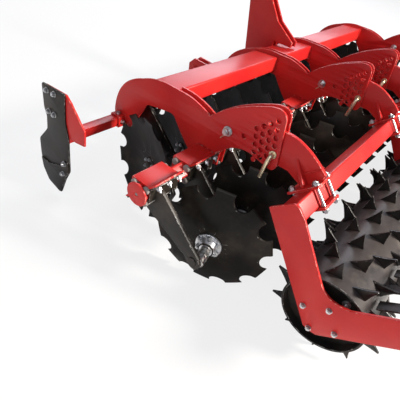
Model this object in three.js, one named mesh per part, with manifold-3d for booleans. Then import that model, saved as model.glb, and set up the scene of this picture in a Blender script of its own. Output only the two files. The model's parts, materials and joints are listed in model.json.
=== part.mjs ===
// Mounted compact disc harrow: two rows of notched discs on separate arms, followed by a spiked roller.
// Millimetres. +X is the machine's left, +Y points to the rear, +Z is up, and the ground is z = 0.
import * as THREE from "three";
import { mergeVertices } from "three/addons/utils/BufferGeometryUtils.js";
import Module from "manifold-3d";

const wasm = await Module();
wasm.setup();

// Driving dimensions.
const GAP = 0.3; // between pieces that touch
const DISC_PITCH = 250;
const DISCS_PER_ROW = 12;
const ROW_SPACING = 570;
const ROW_OFFSET = 455; // how far one row's beam stops short of the other row's end
const BEAM_HEIGHT = 475;
const BEAM_SIDE = 70;
const BEAM_WALL = 8;
const END_CAP_RADIUS = 54;
const END_CAP_THICKNESS = 8;
const PLUG_RADIUS = 8;

const DISC_RADIUS = 280;
const DISC_DEPTH = 57;
const DISC_THICKNESS = 6;
const DISC_FLAT_RADIUS = 130;
const NOTCHES = 10;
const NOTCH_DEPTH = 44;
const TOOTH_HALF_ANGLE = THREE.MathUtils.degToRad(9);
const GANG_ANGLE = THREE.MathUtils.degToRad(17);
const HUB_RADIUS = 62;
const HUB_LENGTH = 46;
const HUB_CAP_RADIUS = 50;
const HUB_CAP_LENGTH = 14;

const CLAMP_LENGTH = 171;
const CLAMP_INSET = 24; // from the beam's end to its first clamp
const CLAMP_HALF = 54;
const CLAMP_CHAMFER = 18;
const ARM_THICKNESS = 18;
const ARM_REACH = 300; // from the beam's axis back to the disc's centre
const ARM_WIDTH = 104;
const ARM_END_WIDTH = 62;
const ARM_FROM_CLAMP = 39.5; // from the clamp's middle out to the rear row's arm
const FRONT_ARM_FROM_CLAMP = 62;
const SPINDLE_LENGTH = 70;
const FRONT_SPINDLE_LENGTH = 100;
const BOSS_RADIUS = 27;

const PLATE_THICKNESS = 10;
const PLATE_SPREAD = 50; // over a pair's outer faces
const PIVOT = { y: 82, z: 188 };
const PIVOT_RADIUS = 15;
const PIVOT_BOSS_RADIUS = 26;
const PIVOT_HEAD_RADIUS = 24;
const PIVOT_HEAD_LENGTH = 9;
const BORE_CLEARANCE = 0.3;
const HOLE_RADIUS = 12;
const HOLE_PITCH = 36.5;
const HOLE_COLUMNS = 4;
const HOLE_ROWS = 5;

const BOX_WIDTH = 176;
const BOX_HEIGHT = 92;
const BOX_WALL = 8;
const BOX_CENTRE = { y: -338, z: 169 };
const BOX_TILT = THREE.MathUtils.degToRad(6);

const ROLLER_TIP_RADIUS = 255;
const DRUM_RADIUS = 182;
const DRUM_WALL = 9;
const DRUM_RECESS = 45;
const DRUM_WEB = 10;
const DRUM_SIDES = 20;
const WINDOW_RADIUS = 38;
const WINDOW_PLACE = 105;
const SHAFT_RADIUS = 30;
const ROLLER_AXIS_Y = 830;
const ROLLER_BEAM = { y: 541, z: 117 };
const ROLLER_BEAM_SIDE = 80;
const ROLLER_BEAM_WALL = 8;
const ROLLER_INNER_END = 48;
const ROLLER_PLATE = 12;
const DRUM_END_CLEARANCE = 14;
const RINGS = 12;
const RING_PITCH = 117;
const TEETH_PER_RING = 10;
const TOOTH_PLATE = 10;
const TOOTH_BASE = 80;
const TOOTH_SWEEP = THREE.MathUtils.degToRad(7);
const BEARING_FLANGE = 112;
const BEARING_HEIGHT = 14;
const SCRAPER_BAR = { y: 1128, z: 14 };
const SCRAPER_BAR_SIDE = 60;
const SCRAPER_WIDTH = 54;
const SCRAPER_THICKNESS = 8;
const SCRAPER_CLEARANCE = 7;

const BASE_PLATE = 12;
const BASE_OVERHANG = 34; // past the roller beam's sides
const BASE_HALF_WIDTH = 68;
const CLAMP_BOLT_RADIUS = 8;
const ROLLER_ARM = 19.4;

const TUBE_SIDE = 50;
const TUBE_DROP = 86; // deflector tube's axis below the beam's
const TUBE_FORWARD = 28; // and ahead of it
const TUBE_CLEARANCE = 0.5;
const TUBE_WALL = 6;
const TUBE_TAIL = 150; // length of tube inside what carries it
const COLLAR_LENGTH = 50;
const COLLAR_WALL = 8;
const BLADE_THICKNESS = 8;
const BLADE_REACH = 385; // from the outer side plates out to the deflector blade
const GUSSET_THICKNESS = 10;

const HITCH_SHIFT = 3; // inboard of the middle between two clamps
const HITCH_EAR = 12;
const HITCH_SPREAD = 70;
const HITCH_PIN = { ahead: 142, z: 15 }; // ahead of the front beam's axis
const HITCH_PIN_RADIUS = 18;
const TOP_PIN = { ahead: 120, z: 605 };
const MAST_PLATE = 14;
const MAST_HALF = 36;

const halfDiagonal = BEAM_SIDE / Math.SQRT2;
const beamInside = BEAM_SIDE - 2 * BEAM_WALL;
const hubHeight = DISC_RADIUS * Math.cos(TOOTH_HALF_ANGLE);
const hubDrop = hubHeight - BEAM_HEIGHT;
const quarterPitch = Math.PI / (2 * TEETH_PER_RING);
const rollerAxisZ = ROLLER_TIP_RADIUS * Math.cos(quarterPitch) - BEAM_HEIGHT;
const halfWidth = (CLAMP_INSET * 2 + CLAMP_LENGTH + DISC_PITCH * (DISCS_PER_ROW + 1)) / 2;
const beamInnerEnd = halfWidth - ROW_OFFSET;
const gapFromEnd = CLAMP_INSET + CLAMP_LENGTH / 2 + DISC_PITCH * 1.5;
const outerPlates = halfWidth - gapFromEnd;
const innerPlates = outerPlates - 4 * DISC_PITCH;
const rollerEnd = halfWidth - DISC_PITCH; // outer end plate's middle
const baseHalfLength = ROLLER_BEAM_SIDE / 2 + BASE_OVERHANG;
const frontBeamEnd = outerPlates + PLATE_SPREAD / 2 - PLATE_THICKNESS - GAP;
const tubeY = -ROW_SPACING - TUBE_FORWARD; // the left-hand deflector's tube

const red = new THREE.MeshStandardMaterial({ color: 0xa31d22, roughness: 0.4, metalness: 0.1 });
const darkSteel = new THREE.MeshStandardMaterial({ color: 0x1c1a19, roughness: 0.35, metalness: 0.4 });
const blackPaint = new THREE.MeshStandardMaterial({ color: 0x2a2523, roughness: 0.5, metalness: 0.2 });
const toothSteel = new THREE.MeshStandardMaterial({ color: 0x23211f, roughness: 0.45, metalness: 0.4 });

// A three.js geometry as a manifold-3d solid.
function solid(geometry) {
  const bare = geometry.index ? geometry.toNonIndexed() : geometry.clone();
  const positions = new THREE.BufferGeometry().setAttribute("position", bare.getAttribute("position"));
  const merged = mergeVertices(positions, 1e-3);
  const mesh = new wasm.Mesh({
    numProp: 3,
    vertProperties: merged.attributes.position.array,
    triVerts: new Uint32Array(merged.index.array),
  });
  return new wasm.Manifold(mesh);
}

// A manifold-3d solid as a three.js geometry.
function geometryOf(body) {
  const mesh = body.getMesh();
  const geometry = new THREE.BufferGeometry();
  geometry.setAttribute("position", new THREE.BufferAttribute(mesh.vertProperties, 3));
  geometry.setIndex(new THREE.BufferAttribute(mesh.triVerts, 1));
  return geometry;
}

function join(solids) {
  return solids.reduce((whole, piece) => whole.add(piece));
}

function mesh(name, body, material) {
  const made = new THREE.Mesh(geometryOf(body), material);
  made.name = name;
  return made;
}

// A box given by its two ends along each axis.
function block(x0, x1, y0, y1, z0, z1) {
  const geometry = new THREE.BoxGeometry(x1 - x0, y1 - y0, z1 - z0);
  geometry.translate((x0 + x1) / 2, (y0 + y1) / 2, (z0 + z1) / 2);
  return solid(geometry);
}

// A shape drawn in (y, z), made into a plate between two places along X.
function plate(shape, x0, x1, curveSegments = 4) {
  const geometry = new THREE.ExtrudeGeometry(shape, { depth: x1 - x0, bevelEnabled: false, curveSegments });
  const toPlate = new THREE.Matrix4().set(0, 0, 1, x0, 1, 0, 0, 0, 0, 1, 0, 0, 0, 0, 0, 1);
  geometry.applyMatrix4(toPlate);
  return solid(geometry);
}

function polygon(points) {
  return new THREE.Shape(points.map(([y, z]) => new THREE.Vector2(y, z)));
}

// A round bar along X between two places.
function bar(radius, x0, x1, y, z, sides = 10) {
  const geometry = new THREE.CylinderGeometry(radius, radius, x1 - x0, sides);
  geometry.rotateZ(-Math.PI / 2);
  geometry.translate((x0 + x1) / 2, y, z);
  return solid(geometry);
}

// A regular hole whose flats lie at the given radius.
function bore(radius, x0, x1, y, z, sides = 10) {
  return bar(radius / Math.cos(Math.PI / sides), x0, x1, y, z, sides);
}

// A square bar along X, turned about its own axis, at (y, z).
function squareBar(width, height, x0, x1, y, z, turn) {
  const geometry = new THREE.BoxGeometry(x1 - x0, width, height);
  geometry.rotateX(turn);
  geometry.translate((x0 + x1) / 2, y, z);
  return solid(geometry);
}

function squareTube(side, wall, x0, x1, y, z, turn) {
  const outer = squareBar(side, side, x0, x1, y, z, turn);
  return outer.subtract(squareBar(side - 2 * wall, side - 2 * wall, x0 - 1, x1 + 1, y, z, turn));
}

// One notched dish with its hub. The axis is X, the hollow side faces +X and the dish's back is at x = 0.
function discSolid() {
  const depthAt = (radius) => DISC_DEPTH * (radius / DISC_RADIUS) ** 2;
  const sector = (2 * Math.PI) / NOTCHES;
  const ringPoint = (radius, angle, x) =>
    new THREE.Vector3(x + depthAt(radius), -radius * Math.sin(angle), -radius * Math.cos(angle));
  const points = [];
  for (const x of [0, DISC_THICKNESS]) {
    for (let i = 0; i < NOTCHES; i += 1) {
      points.push(ringPoint(DISC_FLAT_RADIUS, i * sector, x));
    }
    for (let i = 0; i < NOTCHES; i += 1) {
      points.push(ringPoint(DISC_RADIUS, i * sector - TOOTH_HALF_ANGLE, x));
      points.push(ringPoint(DISC_RADIUS, i * sector + TOOTH_HALF_ANGLE, x));
      points.push(ringPoint(DISC_RADIUS - NOTCH_DEPTH, (i + 0.5) * sector, x));
    }
  }
  const perSide = 4 * NOTCHES;
  const faces = [];
  const bothSides = (a, b, c) => {
    faces.push([a, b, c]);
    faces.push([a + perSide, c + perSide, b + perSide]);
  };
  for (let i = 0; i < NOTCHES; i += 1) {
    const next = (i + 1) % NOTCHES;
    const inner = i;
    const innerNext = next;
    const start = NOTCHES + 3 * i;
    const startNext = NOTCHES + 3 * next;
    if (i > 0 && i < NOTCHES - 1) bothSides(0, inner, innerNext);
    bothSides(inner, start, start + 1);
    bothSides(inner, start + 1, start + 2);
    bothSides(inner, start + 2, innerNext);
    bothSides(innerNext, start + 2, startNext);
    for (const [a, b] of [[start, start + 1], [start + 1, start + 2], [start + 2, startNext]]) {
      faces.push([a, a + perSide, b]);
      faces.push([b, a + perSide, b + perSide]);
    }
  }
  const positions = faces.flatMap(([a, b, c]) => [a, b, c].flatMap((k) => points[k].toArray()));
  const geometry = new THREE.BufferGeometry();
  geometry.setAttribute("position", new THREE.BufferAttribute(new Float32Array(positions), 3));
  const dish = solid(geometry);
  const flatBack = depthAt(DISC_FLAT_RADIUS);
  const hub = bar(HUB_RADIUS, flatBack - HUB_LENGTH, flatBack + DISC_THICKNESS / 2, 0, 0);
  const capStart = flatBack + DISC_THICKNESS / 2;
  const cap = bar(HUB_CAP_RADIUS, capStart, flatBack + DISC_THICKNESS + HUB_CAP_LENGTH, 0, 0, 6);
  return join([dish, hub, cap]);
}

const hubFace = DISC_DEPTH * (DISC_FLAT_RADIUS / DISC_RADIUS) ** 2 - HUB_LENGTH;

// side is +1 for the rear row, whose discs hang to the right of their arms, and -1 for the front row.
function row(side) {
  const y = side > 0 ? 0 : -ROW_SPACING;
  const outer = side > 0 ? halfWidth : frontBeamEnd;
  const inner = side > 0 ? -beamInnerEnd : -halfWidth;
  const armShift = side > 0 ? ARM_FROM_CLAMP : FRONT_ARM_FROM_CLAMP;
  const clamps = [];
  for (let i = 0; i < DISCS_PER_ROW; i += 1) {
    const fromOuter = side > 0 ? i : i + 2;
    const x = halfWidth - CLAMP_INSET - CLAMP_LENGTH / 2 - fromOuter * DISC_PITCH;
    clamps.push({ x, arm: x + armShift });
  }
  return { side, y, outer, inner, clamps };
}

function spindleLength(harrowRow) {
  return harrowRow.side > 0 ? SPINDLE_LENGTH : FRONT_SPINDLE_LENGTH;
}

// Where a disc's centre lies, and the direction that its hollow side faces.
function discPlace(harrowRow, arm) {
  const x = arm - harrowRow.side * (ARM_THICKNESS / 2 + spindleLength(harrowRow));
  const axis = new THREE.Vector3(-harrowRow.side * Math.cos(GANG_ANGLE), -Math.sin(GANG_ANGLE), 0);
  const face = new THREE.Vector3(x, harrowRow.y + ARM_REACH, hubDrop);
  const centre = face.clone().addScaledVector(axis, GAP - hubFace);
  return { axis, face, centre };
}

function clampProfile(y) {
  const h = CLAMP_HALF;
  const c = CLAMP_HALF - CLAMP_CHAMFER;
  return polygon([
    [y - h, -c], [y - c, -h], [y + c, -h], [y + h, -c], [y + h, c], [y + c, h], [y - c, h], [y - h, c],
  ]);
}

// The arm's outline: wide under the clamp, narrower at the spindle, with a blunt end.
function armProfile(y) {
  const hub = new THREE.Vector2(y + ARM_REACH + 6, hubDrop - 10);
  const top = new THREE.Vector2(y + 6, 0);
  const along = hub.clone().sub(top).normalize();
  const across = new THREE.Vector2(-along.y, along.x);
  const at = (from, forward, sideways) => {
    const p = from.clone().addScaledVector(along, forward).addScaledVector(across, sideways);
    return [p.x, p.y];
  };
  return polygon([
    at(top, 20, -ARM_WIDTH / 2),
    at(hub, 8, -ARM_END_WIDTH / 2),
    at(hub, 30, -ARM_END_WIDTH / 4),
    at(hub, 30, ARM_END_WIDTH / 4),
    at(hub, 8, ARM_END_WIDTH / 2),
    at(top, 20, ARM_WIDTH / 2),
  ]);
}

// A round spindle from the arm to the hub's face, along the disc's own axis.
function spindle(harrowRow, arm) {
  const { axis, face } = discPlace(harrowRow, arm);
  const length = spindleLength(harrowRow) / Math.cos(GANG_ANGLE) + ARM_THICKNESS / 2;
  const geometry = new THREE.CylinderGeometry(BOSS_RADIUS, BOSS_RADIUS, length, 8);
  geometry.translate(0, -length / 2, 0);
  geometry.applyQuaternion(new THREE.Quaternion().setFromUnitVectors(new THREE.Vector3(0, 1, 0), axis));
  geometry.translate(face.x, face.y, face.z);
  return solid(geometry);
}

function rowFrame(harrowRow) {
  const { y, outer, inner, clamps, side } = harrowRow;
  const tubeOuter = side > 0 ? outer - END_CAP_THICKNESS : outer;
  const tubeInner = side > 0 ? inner : inner + END_CAP_THICKNESS;
  const pieces = [squareBar(BEAM_SIDE, BEAM_SIDE, tubeInner, tubeOuter, y, 0, Math.PI / 4)];
  const capStart = side > 0 ? tubeOuter - 1 : inner;
  pieces.push(bar(END_CAP_RADIUS, capStart, capStart + END_CAP_THICKNESS + 1, y, 0, 16));
  for (const { x, arm } of clamps) {
    pieces.push(plate(clampProfile(y), x - CLAMP_LENGTH / 2, x + CLAMP_LENGTH / 2));
    pieces.push(plate(armProfile(y), arm - ARM_THICKNESS / 2, arm + ARM_THICKNESS / 2));
    pieces.push(spindle(harrowRow, arm));
  }
  const from = side > 0 ? tubeInner - 1 : tubeInner;
  const to = side > 0 ? tubeOuter : tubeOuter + 1;
  const hollow = squareBar(beamInside, beamInside, from, to, y, 0, Math.PI / 4);
  return join(pieces).subtract(hollow).subtract(bar(PLUG_RADIUS, inner - 1, outer + 1, y, 0, 8));
}

// The outline of a side plate: a hook round the front beam, a neck, and a fan with the depth holes.
function sidePlateShape() {
  const front = -ROW_SPACING;
  const notch = halfDiagonal + GAP * 2;
  const shape = new THREE.Shape();
  shape.moveTo(front + 22, -136);
  shape.quadraticCurveTo(front - 92, -142, front - 86, -40);
  shape.quadraticCurveTo(front - 72, 140, front + 100, 200);
  shape.quadraticCurveTo(front + 190, 245, front + 280, 245);
  shape.lineTo(-180, 246);
  shape.quadraticCurveTo(-100, 240, -30, 207);
  shape.quadraticCurveTo(62, 313, 246, 387);
  shape.quadraticCurveTo(318, 408, 326, 355);
  shape.lineTo(353, 165);
  shape.quadraticCurveTo(352, 122, 318, 126);
  shape.lineTo(218, 146);
  shape.quadraticCurveTo(120, 146, 70, 66);
  shape.lineTo(68, -10);
  shape.lineTo(notch, -10);
  shape.lineTo(notch, 0);
  shape.lineTo(0, notch);
  shape.lineTo(-notch, 0);
  shape.lineTo(-notch, -10);
  shape.lineTo(-104, -24);
  shape.quadraticCurveTo(-175, 35, -226, 100);
  shape.quadraticCurveTo(-236, 113, -262, 112);
  shape.lineTo(front + 165, 84);
  shape.quadraticCurveTo(front + 146, 78, front + 138, 50);
  shape.lineTo(front + 40, -122);
  return shape;
}

// Places of the depth holes in the fan, on a grid that leans with the fan's rear edge.
function depthHoles() {
  const down = new THREE.Vector2(0.19, -0.98).multiplyScalar(HOLE_PITCH);
  const across = new THREE.Vector2(-0.74, -0.67).multiplyScalar(HOLE_PITCH);
  const first = new THREE.Vector2(293, 344);
  const holes = [];
  for (let column = 0; column < HOLE_COLUMNS; column += 1) {
    for (let line = 0; line < HOLE_ROWS; line += 1) {
      holes.push(first.clone().addScaledVector(across, column).addScaledVector(down, line));
    }
  }
  return holes;
}

function sidePlate(x) {
  const half = PLATE_THICKNESS / 2;
  const from = x - half - 1;
  const to = x + half + 1;
  let body = plate(sidePlateShape(), x - half, x + half);
  if (x < frontBeamEnd) {
    const opening = BEAM_SIDE + 2 * GAP;
    body = body.subtract(squareBar(opening, opening, from, to, -ROW_SPACING, 0, Math.PI / 4));
  }
  body = body.subtract(bore(PIVOT_RADIUS + BORE_CLEARANCE, from, to, PIVOT.y, PIVOT.z));
  for (const hole of depthHoles()) body = body.subtract(bore(HOLE_RADIUS, from, to, hole.x, hole.y, 4));
  return body;
}

// The inner plate of an outermost pair starts behind the box, which runs on to the outer plate.
function behindBox(body, x) {
  const rear = BOX_CENTRE.y + BOX_WIDTH / 2 * Math.cos(BOX_TILT) + BOX_HEIGHT / 2 * Math.sin(BOX_TILT) + GAP;
  return body.subtract(block(x - PLATE_THICKNESS, x + PLATE_THICKNESS, -ROW_SPACING - 300, rear, -400, 600));
}

// Gives the outermost left plate its square opening for the deflector's tube.
function tubeOpening(x) {
  const opening = TUBE_SIDE + 2 * TUBE_CLEARANCE;
  return squareBar(opening, opening, x - PLATE_THICKNESS, x + PLATE_THICKNESS, tubeY, -TUBE_DROP, 0);
}

function plateMiddles(x) {
  const offset = (PLATE_SPREAD - PLATE_THICKNESS) / 2;
  return { outer: x + Math.sign(x) * offset, inner: x - Math.sign(x) * offset };
}

// A length of the box that ties two pairs of side plates together.
function boxTie(x0, x1) {
  const outer = squareBar(BOX_WIDTH, BOX_HEIGHT, x0, x1, BOX_CENTRE.y, BOX_CENTRE.z, BOX_TILT);
  const width = BOX_WIDTH - 2 * BOX_WALL;
  const height = BOX_HEIGHT - 2 * BOX_WALL;
  return outer.subtract(squareBar(width, height, x0 - 1, x1 + 1, BOX_CENTRE.y, BOX_CENTRE.z, BOX_TILT));
}

// A lower-link bracket: two ears on the front beam with a cross pin between them.
function lowerHitch(x) {
  const front = -ROW_SPACING;
  const pin = { y: front - HITCH_PIN.ahead, z: HITCH_PIN.z };
  const notch = halfDiagonal + GAP * 2;
  const ear = polygon([
    [front + 62, 62], [front - 40, 74], [pin.y - 10, pin.z + 62], [pin.y - 48, pin.z + 20],
    [pin.y - 44, pin.z - 30], [pin.y - 8, pin.z - 46], [front - 76, -60], [front - 30, -72],
    [front, -notch], [front - notch, 0], [front, notch], [front + notch, 0],
    [front + notch - 26, -26], [front + 34, -44], [front + 62, -12],
  ]);
  const outerEar = plate(ear, x + HITCH_SPREAD / 2 - HITCH_EAR, x + HITCH_SPREAD / 2);
  const innerEar = plate(ear, x - HITCH_SPREAD / 2, x - HITCH_SPREAD / 2 + HITCH_EAR);
  const reach = HITCH_SPREAD / 2 + 10;
  const crossPin = bar(HITCH_PIN_RADIUS, x - reach, x + reach, pin.y, pin.z);
  const web = block(x - HITCH_SPREAD / 2, x + HITCH_SPREAD / 2, front - 86, front - 74, -48, 60);
  return join([outerEar, innerEar, crossPin, web]);
}

// The top-link mast: two plates from the front beam and the box up to the top pin.
function mast() {
  const front = -ROW_SPACING;
  const top = { y: front - TOP_PIN.ahead, z: TOP_PIN.z };
  const boxFront = BOX_CENTRE.y - BOX_WIDTH / 2;
  const boxTop = BOX_CENTRE.z + BOX_HEIGHT / 2 + BOX_WIDTH / 2 * Math.sin(BOX_TILT);
  const notch = halfDiagonal + GAP * 2;
  const side = polygon([
    [front + notch, 0], [front + 62, 4], [front + 62, 60], [boxFront - 14, 96], [boxFront - 14, boxTop + 6],
    [BOX_CENTRE.y + 40, boxTop + 6], [BOX_CENTRE.y + 40, boxTop + 40], [boxFront - 20, boxTop + 130],
    [top.y + 62, top.z - 20], [top.y + 40, top.z + 44], [top.y - 34, top.z + 44], [top.y - 46, top.z - 20],
    [front - 74, 90], [front - 74, 0], [front - notch, 0], [front, notch],
  ]);
  const left = plate(side, MAST_HALF - MAST_PLATE, MAST_HALF);
  const right = plate(side, -MAST_HALF, -MAST_HALF + MAST_PLATE);
  const pin = bar(HITCH_PIN_RADIUS - 2, -MAST_HALF - 10, MAST_HALF + 10, top.y, top.z);
  const web = block(-MAST_HALF, MAST_HALF, front - 60, front - 48, 90, 420);
  return join([left, right, pin, web]);
}

// side: +1 for the left-hand blade ahead of the front row, -1 for the right-hand one beside the rear row.
function deflectorFrame(side) {
  const group = new THREE.Group();
  if (side > 0) {
    group.position.set(0, tubeY, 0);
  } else {
    group.rotation.z = Math.PI;
  }
  return group;
}

function deflectorArm(side) {
  const carrier = side > 0 ? outerPlates + PLATE_SPREAD / 2 : beamInnerEnd;
  const blade = outerPlates + PLATE_SPREAD / 2 + BLADE_REACH - BLADE_THICKNESS / 2 - GAP;
  const gussetShape = polygon([
    [-120, 150], [36, 163], [72, 135], [134, 69], [167, 37], [166, -45], [100, -58], [56, -60],
    [34, -118], [-34, -118], [-50, -50], [-110, 20],
  ]);
  const gusset = plate(gussetShape, blade - GUSSET_THICKNESS, blade);
  const inside = carrier - TUBE_TAIL;
  const tube = side > 0
    ? squareTube(TUBE_SIDE, TUBE_WALL, inside, blade - 1, 0, -TUBE_DROP, 0)
    : squareTube(beamInside - 2 * TUBE_CLEARANCE, TUBE_WALL, inside, blade - 1, 0, 0, Math.PI / 4);
  return join([tube, gusset]);
}

// The blade's outline about the deflector's own origin: straight top, waist, wide lower part and point.
function deflectorBlade() {
  const outline = polygon([
    [-138, 155], [36, 168], [32, 20], [54, -62], [56, -262], [18, -335], [-28, -455],
    [-132, -428], [-178, -360], [-192, -278], [-194, -182], [-118, -88], [-114, -10], [-132, 26],
  ]);
  const blade = outerPlates + PLATE_SPREAD / 2 + BLADE_REACH;
  return plate(outline, blade - BLADE_THICKNESS / 2, blade + BLADE_THICKNESS / 2);
}

// The collar that the left-hand deflector's tube slides in.
function tubeCollar(x0, x1) {
  const opening = TUBE_SIDE + 2 * TUBE_CLEARANCE;
  const outside = opening + 2 * COLLAR_WALL;
  const shell = squareBar(outside, outside, x0, x1, tubeY, -TUBE_DROP, 0);
  return shell.subtract(squareBar(opening, opening, x0 - 1, x1 + 1, tubeY, -TUBE_DROP, 0));
}

// The arm from a pair of side plates back to the roller's beam, with its clamp round the beam.
function rollerArm(x) {
  const pivot = PIVOT;
  const beam = ROLLER_BEAM;
  const shape = polygon([
    [pivot.y - 40, pivot.z - 10], [pivot.y - 28, pivot.z + 32], [pivot.y + 8, pivot.z + 48], [210, 282],
    [329, 307], [396, 305], [470, 282], [552, 224], [beam.y + 8, beam.z + 78], [beam.y - 64, beam.z + 6],
    [400, 156], [240, 152], [pivot.y, pivot.z - 42], [pivot.y - 30, pivot.z - 34],
  ]);
  const beamHalf = ROLLER_BEAM_SIDE / 2 + GAP;
  const local = (x0, x1, along0, along1, up0, up1) => {
    const geometry = new THREE.BoxGeometry(x1 - x0, along1 - along0, up1 - up0);
    geometry.translate((x0 + x1) / 2, (along0 + along1) / 2, (up0 + up1) / 2);
    geometry.rotateX(Math.PI / 4);
    geometry.translate(0, ROLLER_BEAM.y, ROLLER_BEAM.z);
    return solid(geometry);
  };
  const w = BASE_HALF_WIDTH;
  const base = local(x - w, x + w, -baseHalfLength, baseHalfLength, beamHalf, beamHalf + BASE_PLATE);
  const keeperHalf = baseHalfLength - 6;
  const keeper = local(x - w, x + w, -keeperHalf, keeperHalf, -beamHalf - BASE_PLATE, -beamHalf);
  const bolts = [];
  for (const dx of [-w + 18, w - 18]) {
    for (const along of [-baseHalfLength + 19, baseHalfLength - 19]) {
      const r = CLAMP_BOLT_RADIUS;
      const up = beamHalf + BASE_PLATE;
      bolts.push(local(x + dx - r, x + dx + r, along - r, along + r, -up - 12, up + 12));
    }
  }
  const inside = (PLATE_SPREAD - 2 * PLATE_THICKNESS) / 2;
  const boss = bar(PIVOT_BOSS_RADIUS, x - inside + GAP, x + inside - GAP, PIVOT.y, PIVOT.z);
  const reach = PLATE_SPREAD / 2 + GAP + PIVOT_HEAD_LENGTH;
  const pivotPin = bar(PIVOT_RADIUS, x - reach, x + reach, PIVOT.y, PIVOT.z);
  const headOuter = bar(PIVOT_HEAD_RADIUS, x + reach - PIVOT_HEAD_LENGTH, x + reach, PIVOT.y, PIVOT.z);
  const headInner = bar(PIVOT_HEAD_RADIUS, x - reach, x - reach + PIVOT_HEAD_LENGTH, PIVOT.y, PIVOT.z);
  const web = plate(shape, x - ROLLER_ARM / 2, x + ROLLER_ARM / 2);
  return join([web, boss, pivotPin, headOuter, headInner, base, keeper, ...bolts]);
}

// The V-shaped plate at a roller's end: a leg down to the bearing and one up to the scraper bar.
function rollerEndPlate(x, inward) {
  const axis = { y: ROLLER_AXIS_Y, z: rollerAxisZ };
  const shape = new THREE.Shape();
  shape.moveTo(ROLLER_BEAM.y - 80, ROLLER_BEAM.z + 7);
  shape.lineTo(ROLLER_BEAM.y + 11, ROLLER_BEAM.z + 88);
  shape.lineTo(ROLLER_BEAM.y + 62, ROLLER_BEAM.z + 46);
  shape.lineTo(axis.y - 62, axis.z + 168);
  shape.quadraticCurveTo(axis.y - 26, axis.z + 122, axis.y + 30, axis.z + 128);
  shape.lineTo(axis.y + 75, axis.z + 139);
  shape.lineTo(SCRAPER_BAR.y + 14, SCRAPER_BAR.z + 78);
  shape.lineTo(SCRAPER_BAR.y + 66, SCRAPER_BAR.z + 46);
  shape.lineTo(SCRAPER_BAR.y + 52, SCRAPER_BAR.z - 48);
  shape.lineTo(axis.y + 10, axis.z - 93);
  shape.lineTo(axis.y - 38, axis.z - 88);
  const half = ROLLER_PLATE / 2;
  const inner = x + inward * half;
  const flangeFrom = Math.min(inner, inner + inward * BEARING_HEIGHT);
  const flange = BEARING_FLANGE / 2;
  const flangeTo = flangeFrom + BEARING_HEIGHT;
  const { y, z } = axis;
  const bearing = block(flangeFrom, flangeTo, y - flange, y + flange, z - flange, z + flange);
  const body = plate(shape, x - half, x + half).add(bearing);
  return body.subtract(bore(SHAFT_RADIUS + BORE_CLEARANCE, x - 50, x + 50, axis.y, axis.z, 16));
}

// A ring of pointed plates round the drum, each swept back a little.
function toothRing(x, phase) {
  const inner = DRUM_RADIUS - DRUM_WALL / 2;
  const half = Math.asin(TOOTH_BASE / 2 / inner);
  const teeth = [];
  for (let i = 0; i < TEETH_PER_RING; i += 1) {
    const angle = phase + (i / TEETH_PER_RING) * 2 * Math.PI;
    const at = (radius, turn) => [
      ROLLER_AXIS_Y + radius * Math.sin(angle + turn),
      rollerAxisZ - radius * Math.cos(angle + turn),
    ];
    const base = [at(inner, -half + TOOTH_SWEEP), at(inner, half + TOOTH_SWEEP)];
    const shape = polygon([...base, at(ROLLER_TIP_RADIUS, 0)]);
    teeth.push(plate(shape, x - TOOTH_PLATE / 2, x + TOOTH_PLATE / 2));
  }
  return teeth;
}

function drumSpan(side) {
  const inner = ROLLER_INNER_END + ROLLER_PLATE / 2 + DRUM_END_CLEARANCE;
  const outer = rollerEnd - ROLLER_PLATE / 2 - DRUM_END_CLEARANCE;
  return side > 0 ? [inner, outer] : [-outer, -inner];
}

function ringPlaces(side) {
  const [x0, x1] = drumSpan(side);
  const first = (x0 + x1) / 2 - ((RINGS - 1) / 2) * RING_PITCH;
  return Array.from({ length: RINGS }, (_, i) => first + i * RING_PITCH);
}

function rollerDrum(side) {
  const [x0, x1] = drumSpan(side);
  const y = ROLLER_AXIS_Y;
  const z = rollerAxisZ;
  const bore = bar(DRUM_RADIUS - DRUM_WALL, x0 - 1, x1 + 1, y, z, DRUM_SIDES);
  const tube = bar(DRUM_RADIUS, x0, x1, y, z, DRUM_SIDES).subtract(bore);
  const teeth = ringPlaces(side).flatMap((x, i) => toothRing(x, i % 2 ? quarterPitch : -quarterPitch));
  const ends = [];
  for (const [at, outward] of [[x0, -1], [x1, 1]]) {
    const face = at - outward * DRUM_RECESS;
    const [from, to] = [face, face - outward * DRUM_WEB].sort((a, b) => a - b);
    const web = bar(DRUM_RADIUS - DRUM_WALL / 2, from, to, y, z, DRUM_SIDES);
    const windows = [0, 1, 2].map((k) => {
      const angle = (k / 3) * 2 * Math.PI;
      const [windowY, windowZ] = [y + WINDOW_PLACE * Math.cos(angle), z + WINDOW_PLACE * Math.sin(angle)];
      return bar(WINDOW_RADIUS, from - 1, to + 1, windowY, windowZ, 8);
    });
    ends.push(windows.reduce((whole, hole) => whole.subtract(hole), web));
    const tip = at + outward * (DRUM_END_CLEARANCE + ROLLER_PLATE / 2 + 2);
    ends.push(bar(SHAFT_RADIUS, Math.min(face, tip), Math.max(face, tip), y, z, 16));
  }
  return join([tube, join(teeth).subtract(bore), ...ends]);
}

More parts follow.
